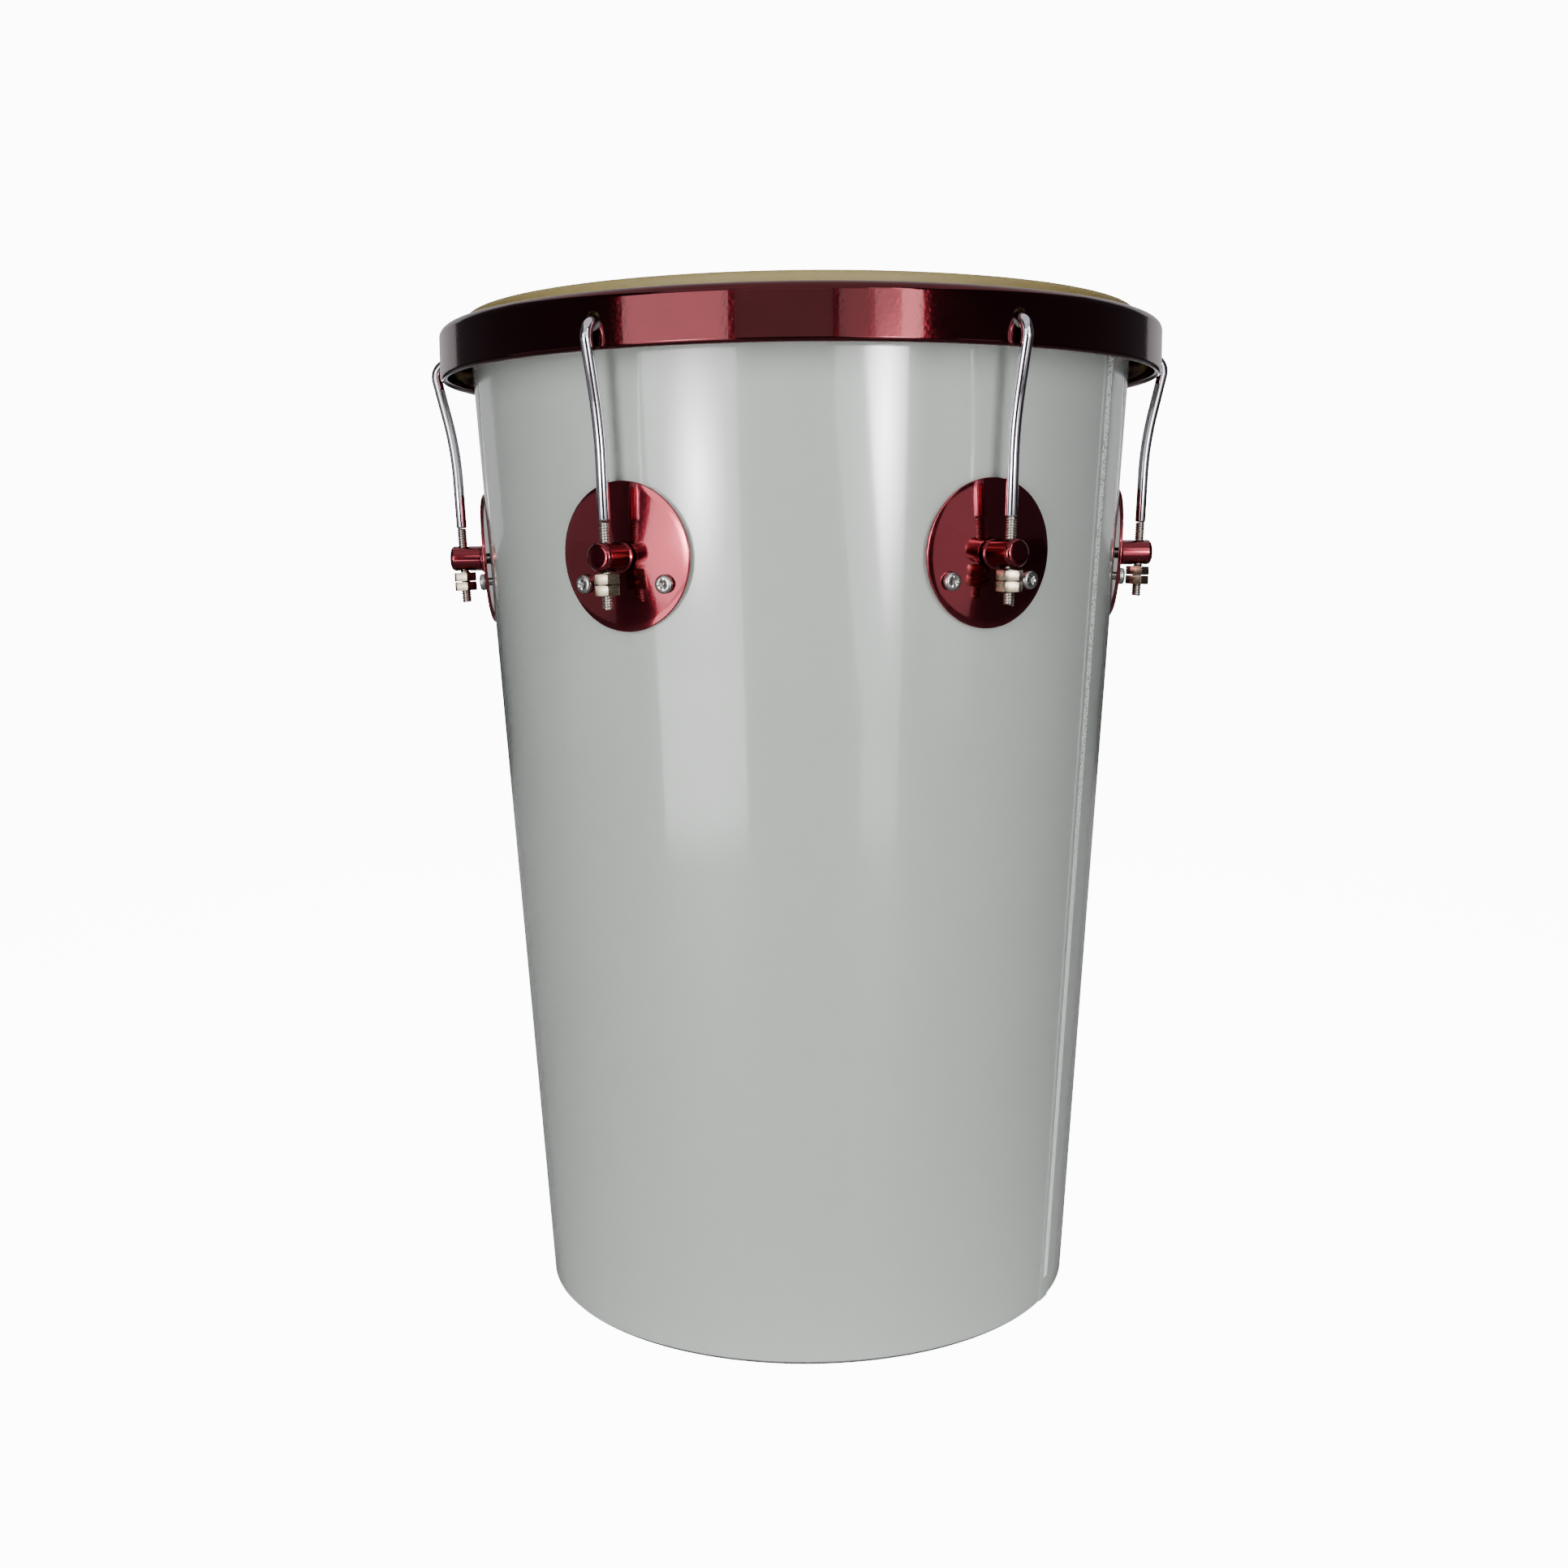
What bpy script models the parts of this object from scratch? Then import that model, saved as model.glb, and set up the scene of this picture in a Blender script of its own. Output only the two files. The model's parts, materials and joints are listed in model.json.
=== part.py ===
"""Rebolo drum: a conical hand drum with one head and six hook-and-nut tuning stations.

Every length is in metres and every angle in degrees. The drum stands on its open lower end with its
axis on Z. Azimuth is counted from the front (-Y) towards the right (+X). Each tuning station is
modelled in its own frame, whose X points out of the drum and whose Z points up.
"""

import math

import bmesh
import bpy
from mathutils import Matrix, Vector

# Shell
SHELL_HEIGHT = 0.4490
SHELL_TOP_RADIUS = 0.1508
SHELL_BOTTOM_RADIUS = 0.1230
SHELL_WALL = 0.0012
EDGE_FOLD_WIDTH = 0.0065
EDGE_RADIUS = 0.0018

# Laminate wrapped round the shell, lapped at one seam
WRAP_THICKNESS = 0.0005
WRAP_EDGE_MARGIN = 0.0002
LAP_WIDTH = 0.0100
LAP_AZIMUTH = 60.0

# Skin and the ring that it is lapped on
SKIN_THICKNESS = 0.0006
BEARING_RADIUS = 0.0022
COLLAR_FLARE = 0.0004
FLESH_HOOP_WIDTH = 0.0040
FLESH_HOOP_HEIGHT = 0.0080
SKIN_TUCK = 0.0035

# Tension hoop: a folded band with a flange, a skirt and a hem
HOOP_SHEET = 0.0015
HOOP_DEPTH = 0.0223
HOOP_SHOULDER_RADIUS = 0.0042
HEM_DEPTH = 0.0045
HEM_SLOT = 0.0005
COLLAR_STAND = 0.0054
COLLAR_CLEARANCE = 0.0012
HOOK_ROOM = 0.0051

# Hook holes in the skirt
HOLE_DROP = 0.0118
HOLE_HALF_WIDTH = 0.0037
HOLE_HALF_HEIGHT = 0.0039

# Tuning stations: a plate is bent less than the shell is round, so its sides stand off a little
LUG_COUNT = 6
FIRST_LUG_AZIMUTH = -30.0
LUG_DROP = 0.1060
PLATE_RADIUS = 0.0300
PLATE_THICKNESS = 0.0015
PLATE_DISH = 0.0016
PLATE_BEND_RADIUS = 0.2900
BARREL_RADIUS = 0.0058
BARREL_FOOT_WIDTH = 0.0006
BARREL_FOOT_HEIGHT = 0.0009
BARREL_END_RADIUS = 0.0016
BARREL_REACH = 0.0105
BARREL_NOSE = 0.0058

# Hook rod
ROD_RADIUS = 0.0024
ROD_TAIL = 0.0206
ROD_LEAN = 2.5
ROD_KNEE_RISE = 0.0500
ROD_KNEE_RADIUS = 0.1500
ROD_HOOK_RADIUS = 0.0065
ROD_HOOP_CLEARANCE = 0.0011
ROD_TIP_CLEARANCE = 0.0012

# Nuts on the hook rod
NUT_ACROSS_FLATS = 0.0095
NUT_HEIGHT = 0.0041
NUT_CHAMFER = 0.0006
NUT_FLAT_DROP = 0.0001

# Bolt that holds each barrel from inside the shell
BOLT_RADIUS = 0.0025
BOLT_ENGAGEMENT = 0.0055
BOLT_FLANGE_RADIUS = 0.0058
BOLT_FLANGE_HEIGHT = 0.0010
BOLT_HEAD_ACROSS_FLATS = 0.0080
BOLT_HEAD_HEIGHT = 0.0035

# Screws that hold each plate to the shell
SCREW_SPREAD = 0.0191
SCREW_DROP = 0.0108
SCREW_RADIUS = 0.0018
SCREW_LENGTH = 0.0100
SCREW_POINT = 0.0030
SCREW_HEAD_RADIUS = 0.0038
SCREW_HEAD_EDGE = 0.0010
SCREW_CROWN_RADIUS = 0.0023
SCREW_HEAD_HEIGHT = 0.0025

# Clearances between neighbours
SEAT_GAP = 0.0003
ROD_CLEARANCE = 0.0004

# Facets, and the angle from which an edge is shaded as sharp
ROUND_STEPS = 60
PLATE_STEPS = 20
BARREL_STEPS = 12
HOLE_STEPS = 12
BORE_STEPS = 10
BOLT_STEPS = 12
SCREW_STEPS = 8
SCREW_HOLE_STEPS = 6
FOLD_STEPS = 1
CORNER_STEPS = 2
KNEE_STEPS = 2
HOOK_STEPS = 5
SHARP_ANGLE = 35.0

# The shell's outline and what follows from it
SHELL_SLOPE = (SHELL_TOP_RADIUS - SHELL_BOTTOM_RADIUS) / SHELL_HEIGHT
WRAP_OFFSET = SEAT_GAP + WRAP_THICKNESS
WRAP_BOTTOM = EDGE_RADIUS + WRAP_EDGE_MARGIN
WRAP_TOP = SHELL_HEIGHT - EDGE_RADIUS - WRAP_EDGE_MARGIN


def shell_radius(height):
    """Outer radius of the bare shell at a height above its lower edge."""
    return SHELL_BOTTOM_RADIUS + SHELL_SLOPE * height


def wrap_radius(height):
    """Outer radius of the laminate at a height above the shell's lower edge."""
    return shell_radius(height) + WRAP_OFFSET


# Head and hoop, stacked on the shell's bearing edge and outwards from the laminate
SKIN_TOP = SHELL_HEIGHT + SEAT_GAP + SKIN_THICKNESS
COLLAR_INNER_RADIUS = wrap_radius(WRAP_TOP) + WRAP_THICKNESS + SEAT_GAP
COLLAR_FOOT_RADIUS = COLLAR_INNER_RADIUS + COLLAR_FLARE
HOOP_TOP = SKIN_TOP - COLLAR_STAND
HOOP_BOTTOM = HOOP_TOP - HOOP_DEPTH
LAP_TOP = HOOP_TOP - HOOP_SHEET - SEAT_GAP
FLESH_HOOP_TOP = LAP_TOP - SKIN_THICKNESS - SEAT_GAP
FLESH_HOOP_BOTTOM = FLESH_HOOP_TOP - FLESH_HOOP_HEIGHT
FLESH_HOOP_INNER_RADIUS = COLLAR_FOOT_RADIUS + SEAT_GAP
FLESH_HOOP_OUTER_RADIUS = FLESH_HOOP_INNER_RADIUS + FLESH_HOOP_WIDTH
LAP_OUTER_RADIUS = FLESH_HOOP_OUTER_RADIUS + SEAT_GAP + SKIN_THICKNESS
HOOP_OUTER_RADIUS = LAP_OUTER_RADIUS + HOOK_ROOM + HOOP_SHEET
HOOP_MOUTH_RADIUS = COLLAR_FOOT_RADIUS + SKIN_THICKNESS + COLLAR_CLEARANCE

# Tuning station, from the plate outwards
LUG_HEIGHT = SHELL_HEIGHT - LUG_DROP
PLATE_BACK_RADIUS = wrap_radius(LUG_HEIGHT) + SEAT_GAP
PLATE_BEND_AXIS = PLATE_BACK_RADIUS - PLATE_BEND_RADIUS
PLATE_FACE_RADIUS = PLATE_BACK_RADIUS + PLATE_DISH + PLATE_THICKNESS
BARREL_FOOT_RADIUS = BARREL_RADIUS + BARREL_FOOT_WIDTH
BARREL_SEAT = PLATE_FACE_RADIUS + SEAT_GAP + BARREL_FOOT_RADIUS * SHELL_SLOPE
ROD_AXIS_RADIUS = PLATE_FACE_RADIUS + BARREL_REACH
BARREL_LENGTH = ROD_AXIS_RADIUS + BARREL_NOSE - BARREL_SEAT
HOLE_HEIGHT = HOOP_TOP - HOLE_DROP
HOOK_TIP_RADIUS = LAP_OUTER_RADIUS + ROD_TIP_CLEARANCE

# The hook's bend rests on the outer edge of its hole, below the middle of its level end by this drop
HOOK_INNER_BEND = ROD_HOOK_RADIUS - ROD_RADIUS
HOOK_EDGE_REACH = ROD_HOOK_RADIUS - ROD_RADIUS - ROD_HOOP_CLEARANCE
HOOK_DROP = ROD_HOOK_RADIUS - math.sqrt(HOOK_INNER_BEND ** 2 - HOOK_EDGE_REACH ** 2)
HOOK_HEIGHT = HOLE_HEIGHT - HOLE_HALF_HEIGHT + SEAT_GAP + HOOK_DROP

# Angle of the drum's front, from +X, and the distance below which two points are one
FRONT_ANGLE = -90.0
SAME_PLACE = 0.00001


def station_angle(index):
    """Angle about Z, from +X, of a tuning station."""
    return math.radians(FRONT_ANGLE + FIRST_LUG_AZIMUTH + index * 360.0 / LUG_COUNT)


def clear_scene():
    """Remove every object that the file opened with."""
    for thing in list(bpy.data.objects):
        bpy.data.objects.remove(thing, do_unlink=True)


def make_material(name, color, roughness, metallic):
    """A Principled BSDF material with one colour, roughness and metallic value."""
    material = bpy.data.materials.new(name)
    material.use_nodes = True
    shader = material.node_tree.nodes["Principled BSDF"]
    shader.inputs["Base Color"].default_value = (*color, 1.0)
    shader.inputs["Roughness"].default_value = roughness
    shader.inputs["Metallic"].default_value = metallic
    material.diffuse_color = (*color, 1.0)
    return material


def add_object(name, data, material=None, parent=None):
    """Link an object that shows the given mesh or curve."""
    thing = bpy.data.objects.new(name, data)
    bpy.context.collection.objects.link(thing)
    if material is not None and not data.materials:
        data.materials.append(material)
    thing.parent = parent
    return thing


def as_cutter(thing):
    """Keep a tool body out of the model: it is only drawn as a wire."""
    thing.display_type = "WIRE"
    thing.hide_render = True
    return thing


def to_mesh(name, bm):
    """Turn a bmesh into a smooth-shaded mesh with crisp edges left crisp."""
    mesh = bpy.data.meshes.new(name)
    bm.to_mesh(mesh)
    bm.free()
    mesh.shade_smooth()
    mesh.set_sharp_from_angle(angle=math.radians(SHARP_ANGLE))
    return mesh


def rounded(corners, arcs):
    """Flat outline whose inner corners are arcs of a (radius, steps) pair, or sharp where it is None."""
    points = [Vector(corners[0])]
    for before, corner, after, arc in zip(corners, corners[1:], corners[2:], arcs):
        corner = Vector(corner)
        if arc is None:
            points.append(corner)
            continue
        radius, steps = arc
        to_before = (Vector(before) - corner).normalized()
        to_after = (Vector(after) - corner).normalized()
        half_angle = to_before.angle(to_after) / 2.0
        bisector = (to_before + to_after).normalized()
        centre = corner + bisector * (radius / math.sin(half_angle))
        start = corner + to_before * (radius / math.tan(half_angle)) - centre
        end = corner + to_after * (radius / math.tan(half_angle)) - centre
        sweep = start.angle_signed(end)
        for step in range(steps + 1):
            point = centre + Matrix.Rotation(-sweep * step / steps, 2) @ start
            if (point - points[-1]).length > SAME_PLACE:
                points.append(point)
    points.append(Vector(corners[-1]))
    return points


def spun(outline, steps, closed):
    """Spin an outline of (radius, height) points once round Z."""
    bm = bmesh.new()
    verts = [bm.verts.new((radius, 0.0, height)) for radius, height in outline]
    pairs = list(zip(verts, verts[1:]))
    if closed:
        pairs.append((verts[-1], verts[0]))
    edges = [bm.edges.new(pair) for pair in pairs]
    bmesh.ops.spin(
        bm, geom=verts + edges, cent=(0.0, 0.0, 0.0), axis=(0.0, 0.0, 1.0),
        angle=math.tau, steps=steps, use_merge=True, use_duplicate=False,
    )
    bmesh.ops.remove_doubles(bm, verts=bm.verts, dist=SAME_PLACE)
    bmesh.ops.recalc_face_normals(bm, faces=bm.faces)
    return bm


def thicken(thing, thickness):
    """Give a sheet its thickness, half to each side."""
    solidify = thing.modifiers.new("Sheet", "SOLIDIFY")
    solidify.thickness = thickness
    solidify.offset = 0.0
    solidify.use_even_offset = True


def combine(thing, tool, operation):
    """Cut a tool body out of a piece, or fuse it on."""
    boolean = thing.modifiers.new(tool.name, "BOOLEAN")
    boolean.operation = operation
    boolean.solver = "EXACT"
    boolean.object = tool


def circle(radius, height, steps):
    """One level ring of points."""
    turns = [math.tau * step / steps for step in range(steps)]
    return [Vector((radius * math.cos(turn), radius * math.sin(turn), height)) for turn in turns]


def hexagon(across_flats, height, corner_drop=0.0, flat_drop=0.0):
    """A ring of twelve points: six corners and six middles of flats, which may sit lower."""
    ring = []
    for step in range(12):
        corner = step % 2 == 0
        radius = across_flats / 2.0 / (math.cos(math.radians(30.0)) if corner else 1.0)
        level = height - (corner_drop if corner else flat_drop)
        turn = math.tau * step / 12
        ring.append(Vector((radius * math.cos(turn), radius * math.sin(turn), level)))
    return ring


def stacked(rings, hollow):
    """Extrude a ring of points to each next one; hollow ends on the first again, else it is capped."""
    bm = bmesh.new()
    verts = [bm.verts.new(point) for point in rings[0]]
    edges = [bm.edges.new(pair) for pair in zip(verts, verts[1:] + verts[:1])]
    if not hollow:
        bmesh.ops.contextual_create(bm, geom=edges)
    targets = rings[1:] + rings[:1] if hollow else rings[1:]
    for ring, target in zip(rings, targets):
        made = bmesh.ops.extrude_edge_only(bm, edges=edges)["geom"]
        edges = [item for item in made if isinstance(item, bmesh.types.BMEdge)]
        for vert in [item for item in made if isinstance(item, bmesh.types.BMVert)]:
            nearest = min(range(len(ring)), key=lambda step: (vert.co - ring[step]).length)
            vert.co = target[nearest]
    if not hollow:
        bmesh.ops.contextual_create(bm, geom=edges)
    bmesh.ops.remove_doubles(bm, verts=bm.verts, dist=SAME_PLACE)
    bmesh.ops.recalc_face_normals(bm, faces=bm.faces)
    return bm


def bore_radius(shaft_radius, clearance, steps):
    """Corner radius of a faceted bore whose flats clear a shaft."""
    return (shaft_radius + clearance) / math.cos(math.pi / steps)


def drill(bm, radius, length, steps, matrix):
    """Add a straight drill, centred on the matrix's origin along its Z axis."""
    bmesh.ops.create_cone(
        bm, cap_ends=True, segments=steps, radius1=radius, radius2=radius, depth=length, matrix=matrix,
    )


def along_x(radius, height, tangent=0.0):
    """A place in a station's frame, with the local Z axis pointing out of the drum."""
    return Matrix.Translation((radius, tangent, height)) @ Matrix.Rotation(math.radians(90.0), 4, "Y")


def station_turn(index):
    """Turn from the first station's frame into the drum's."""
    return Matrix.Rotation(station_angle(index), 4, "Z")


def on_plate(across, up, layer):
    """Place in a station's frame, X square to the plate, of a point of the dished and bent plate."""
    dish = PLATE_DISH * (1.0 - math.hypot(across, up) / PLATE_RADIUS)
    radius = PLATE_BEND_RADIUS + SHELL_SLOPE * up + dish + layer
    return (
        Matrix.Translation((PLATE_BEND_AXIS, 0.0, LUG_HEIGHT + up))
        @ Matrix.Rotation(across / PLATE_BEND_RADIUS, 4, "Z")
        @ Matrix.Translation((radius, 0.0, 0.0))
    )


def screw_place(side):
    """Place of a plate screw in its station's frame: local Z points out, square to the plate's seat."""
    tilt = math.radians(90.0) + math.atan(SHELL_SLOPE)
    return on_plate(side * SCREW_SPREAD, -SCREW_DROP, PLATE_THICKNESS) @ Matrix.Rotation(tilt, 4, "Y")


def rod_place():
    """Place of the hook rod's straight end: Z runs up the rod, the origin lies in the barrel."""
    return (
        Matrix.Translation((ROD_AXIS_RADIUS, 0.0, LUG_HEIGHT))
        @ Matrix.Rotation(math.radians(ROD_LEAN), 4, "Y")
    )


def build_drills():
    """Drills for the lug fasteners, shared by shell, laminate and plates so that their holes line up."""
    bm = bmesh.new()
    stack = PLATE_FACE_RADIUS - shell_radius(LUG_HEIGHT) + SHELL_WALL
    length = 4.0 * stack
    bolt = bore_radius(BOLT_RADIUS, SEAT_GAP, BORE_STEPS)
    screw = bore_radius(SCREW_RADIUS, SEAT_GAP, SCREW_HOLE_STEPS)
    for index in range(LUG_COUNT):
        turn = station_turn(index)
        drill(bm, bolt, length, BORE_STEPS, turn @ along_x(PLATE_BACK_RADIUS, LUG_HEIGHT))
        for side in (-1, 1):
            drill(bm, screw, length, SCREW_HOLE_STEPS, turn @ screw_place(side))
    return as_cutter(add_object("fastener_drills", to_mesh("fastener_drills", bm)))


def build_shell(material, drills):
    """Aluminium cone whose two ends are folded inwards."""
    half = SHELL_WALL / 2.0
    low, high = half, SHELL_HEIGHT - half
    corners = [
        (shell_radius(low) - EDGE_FOLD_WIDTH, low),
        (shell_radius(low) - half, low),
        (shell_radius(high) - half, high),
        (shell_radius(high) - EDGE_FOLD_WIDTH, high),
    ]
    edge = (EDGE_RADIUS - half, FOLD_STEPS)
    outline = rounded(corners, [edge, edge])
    shell = add_object("shell_tube", to_mesh("shell_tube", spun(outline, ROUND_STEPS, False)), material)
    thicken(shell, SHELL_WALL)
    combine(shell, drills, "DIFFERENCE")


def build_lap():
    """The laminate's outer layer along its seam."""
    bm = bmesh.new()
    bmesh.ops.create_cube(bm, size=2.0)
    for vert in bm.verts:
        height = WRAP_TOP if vert.co.z > 0.0 else WRAP_BOTTOM
        layer = WRAP_THICKNESS if vert.co.x > 0.0 else -WRAP_THICKNESS / 2.0
        vert.co = (wrap_radius(height) + layer, math.copysign(LAP_WIDTH / 2.0, vert.co.y), height)
    lap = as_cutter(add_object("wrap_lap", to_mesh("wrap_lap", bm)))
    lap.rotation_euler.z = math.radians(FRONT_ANGLE + LAP_AZIMUTH)
    return lap


def build_wrap(material, drills):
    """Laminate round the shell, with its lapped seam."""
    outline = [
        (wrap_radius(WRAP_BOTTOM), WRAP_BOTTOM),
        (wrap_radius(WRAP_TOP), WRAP_TOP),
        (wrap_radius(WRAP_TOP) - WRAP_THICKNESS, WRAP_TOP),
        (wrap_radius(WRAP_BOTTOM) - WRAP_THICKNESS, WRAP_BOTTOM),
    ]
    wrap = add_object("shell_wrap", to_mesh("shell_wrap", spun(outline, ROUND_STEPS, True)), material)
    combine(wrap, build_lap(), "UNION")
    combine(wrap, drills, "DIFFERENCE")


def build_skin(material):
    """Skin: flat head, collar over the bearing edge, then lapped over, round and under its ring."""
    half = SKIN_THICKNESS / 2.0
    corners = [
        (0.0, SKIN_TOP - half),
        (COLLAR_INNER_RADIUS + half, SKIN_TOP - half),
        (COLLAR_FOOT_RADIUS + half, LAP_TOP - half),
        (LAP_OUTER_RADIUS - half, LAP_TOP - half),
        (LAP_OUTER_RADIUS - half, FLESH_HOOP_BOTTOM - SEAT_GAP - half),
        (LAP_OUTER_RADIUS - half - SKIN_TUCK, FLESH_HOOP_BOTTOM - SEAT_GAP - half),
    ]
    outline = rounded(corners, [(BEARING_RADIUS, CORNER_STEPS), None, None, None])
    skin = add_object("head_skin", to_mesh("head_skin", spun(outline, ROUND_STEPS, False)), material)
    thicken(skin, SKIN_THICKNESS)


def build_flesh_hoop(material):
    """Metal ring, bent from flat bar, that the skin is lapped on."""
    outline = [
        (FLESH_HOOP_INNER_RADIUS, FLESH_HOOP_BOTTOM),
        (FLESH_HOOP_OUTER_RADIUS, FLESH_HOOP_BOTTOM),
        (FLESH_HOOP_OUTER_RADIUS, FLESH_HOOP_TOP),
        (FLESH_HOOP_INNER_RADIUS, FLESH_HOOP_TOP),
    ]
    add_object("flesh_hoop", to_mesh("flesh_hoop", spun(outline, ROUND_STEPS, True)), material)


def build_hook_holes():
    """Oval cutters for the six hook holes in the hoop's skirt."""
    bm = bmesh.new()
    middle = HOOP_OUTER_RADIUS - HOOP_SHEET / 2.0
    for index in range(LUG_COUNT):
        oval = Matrix.Diagonal((HOLE_HALF_HEIGHT, HOLE_HALF_WIDTH, 1.0, 1.0))
        drill(bm, 1.0, HOOK_ROOM, HOLE_STEPS, station_turn(index) @ along_x(middle, HOLE_HEIGHT) @ oval)
    return as_cutter(add_object("hook_hole_drills", to_mesh("hook_hole_drills", bm)))


def build_tension_hoop(material):
    """Folded hoop: flange on the ring, rounded shoulder, skirt with hook holes and an open hem."""
    half = HOOP_SHEET / 2.0
    skirt = HOOP_OUTER_RADIUS - half
    fold = HEM_SLOT + HOOP_SHEET
    corners = [
        (HOOP_MOUTH_RADIUS, HOOP_TOP - half),
        (skirt, HOOP_TOP - half),
        (skirt, HOOP_BOTTOM + half),
        (skirt - fold, HOOP_BOTTOM + half),
        (skirt - fold, HOOP_BOTTOM + HEM_DEPTH),
    ]
    turn = (fold / 2.0, FOLD_STEPS)
    outline = rounded(corners, [(HOOP_SHOULDER_RADIUS - half, CORNER_STEPS), turn, turn])
    hoop = add_object("tension_hoop", to_mesh("tension_hoop", spun(outline, ROUND_STEPS, False)), material)
    thicken(hoop, HOOP_SHEET)
    combine(hoop, build_hook_holes(), "DIFFERENCE")


def plate_mesh():
    """Round plate, dished in the middle and bent towards the cone it sits on."""
    bm = bmesh.new()
    bmesh.ops.create_circle(
        bm, cap_ends=True, cap_tris=True, segments=PLATE_STEPS, radius=PLATE_RADIUS,
    )
    spokes = [edge for edge in bm.edges if min(vert.co.length for vert in edge.verts) < SAME_PLACE]
    bmesh.ops.subdivide_edges(bm, edges=spokes, cuts=1)
    face = bmesh.ops.extrude_face_region(bm, geom=list(bm.faces))
    for vert in [item for item in face["geom"] if isinstance(item, bmesh.types.BMVert)]:
        vert.co.z = PLATE_THICKNESS
    for vert in bm.verts:
        vert.co = on_plate(*vert.co).translation
    bmesh.ops.recalc_face_normals(bm, faces=bm.faces)
    return to_mesh("lug_plate", bm)


def barrel_mesh():
    """Turned post: a low foot on the plate, a plain body and a rounded nose."""
    corners = [
        (0.0, 0.0),
        (BARREL_FOOT_RADIUS, 0.0),
        (BARREL_FOOT_RADIUS, BARREL_FOOT_HEIGHT),
        (BARREL_RADIUS, BARREL_FOOT_HEIGHT + BARREL_FOOT_WIDTH),
        (BARREL_RADIUS, BARREL_LENGTH),
        (0.0, BARREL_LENGTH),
    ]
    outline = rounded(corners, [None, None, None, (BARREL_END_RADIUS, CORNER_STEPS)])
    return to_mesh("lug_barrel", spun(outline, BARREL_STEPS, False))


def build_barrel_drills():
    """Rod hole across each barrel, and the blind hole for its bolt."""
    bm = bmesh.new()
    rod = bore_radius(ROD_RADIUS, ROD_CLEARANCE, BORE_STEPS)
    bolt = bore_radius(BOLT_RADIUS, SEAT_GAP, BORE_STEPS)
    blind = 2.0 * (BOLT_ENGAGEMENT + SEAT_GAP)
    for index in range(LUG_COUNT):
        turn = station_turn(index)
        drill(bm, rod, 3.0 * BARREL_RADIUS, BORE_STEPS, turn @ rod_place())
        drill(bm, bolt, blind, BORE_STEPS, turn @ along_x(BARREL_SEAT, LUG_HEIGHT))
    return as_cutter(add_object("barrel_drills", to_mesh("barrel_drills", bm)))


def bolt_mesh():
    """Bolt with a hexagonal flanged head: Z points out of the drum, the origin is under the head."""
    shank = BARREL_SEAT + BOLT_ENGAGEMENT - bolt_seat()
    rings = [
        hexagon(BOLT_HEAD_ACROSS_FLATS, -BOLT_FLANGE_HEIGHT - BOLT_HEAD_HEIGHT),
        hexagon(BOLT_HEAD_ACROSS_FLATS, -BOLT_FLANGE_HEIGHT),
        circle(BOLT_FLANGE_RADIUS, -BOLT_FLANGE_HEIGHT / 2.0, BOLT_STEPS),
        circle(BOLT_FLANGE_RADIUS, 0.0, BOLT_STEPS),
        circle(BOLT_RADIUS, 0.0, BOLT_STEPS),
        circle(BOLT_RADIUS, shank, BOLT_STEPS),
    ]
    return to_mesh("barrel_bolt", stacked(rings, False))


def bolt_seat():
    """Radius at which the bolt's flange clears the sloping, curved inner wall of the shell."""
    lowest = shell_radius(LUG_HEIGHT - BOLT_FLANGE_RADIUS) - SHELL_WALL
    facet = lowest * (1.0 - math.cos(math.pi / ROUND_STEPS))
    curve = BOLT_FLANGE_RADIUS ** 2 / (2.0 * lowest)
    return lowest - facet - curve - SEAT_GAP


def nut_mesh():
    """Hexagonal nut, chamfered below: its upper face lies at the origin and its bore is clear."""
    bore = bore_radius(ROD_RADIUS, ROD_CLEARANCE, BOLT_STEPS)
    rings = [
        circle(bore, 0.0, BOLT_STEPS),
        hexagon(NUT_ACROSS_FLATS, 0.0),
        hexagon(NUT_ACROSS_FLATS, NUT_HEIGHT, NUT_CHAMFER, NUT_FLAT_DROP),
        circle((NUT_ACROSS_FLATS - NUT_CHAMFER) / 2.0, NUT_HEIGHT, BOLT_STEPS),
        circle(bore, NUT_HEIGHT, BOLT_STEPS),
    ]
    bm = stacked(rings, True)
    bmesh.ops.transform(bm, matrix=Matrix.Rotation(math.pi, 4, "X"), verts=bm.verts)
    return to_mesh("hex_nut", bm)


def screw_mesh():
    """Pan-head screw with a pointed shank: Z points out of the drum, the origin is under the head."""
    outline = [
        (0.0, -SCREW_LENGTH),
        (SCREW_RADIUS, -SCREW_LENGTH + SCREW_POINT),
        (SCREW_RADIUS, 0.0),
        (SCREW_HEAD_RADIUS, 0.0),
        (SCREW_HEAD_RADIUS, SCREW_HEAD_EDGE),
        (SCREW_CROWN_RADIUS, SCREW_HEAD_HEIGHT),
        (0.0, SCREW_HEAD_HEIGHT),
    ]
    return to_mesh("plate_screw", spun(outline, SCREW_STEPS, False))


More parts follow.
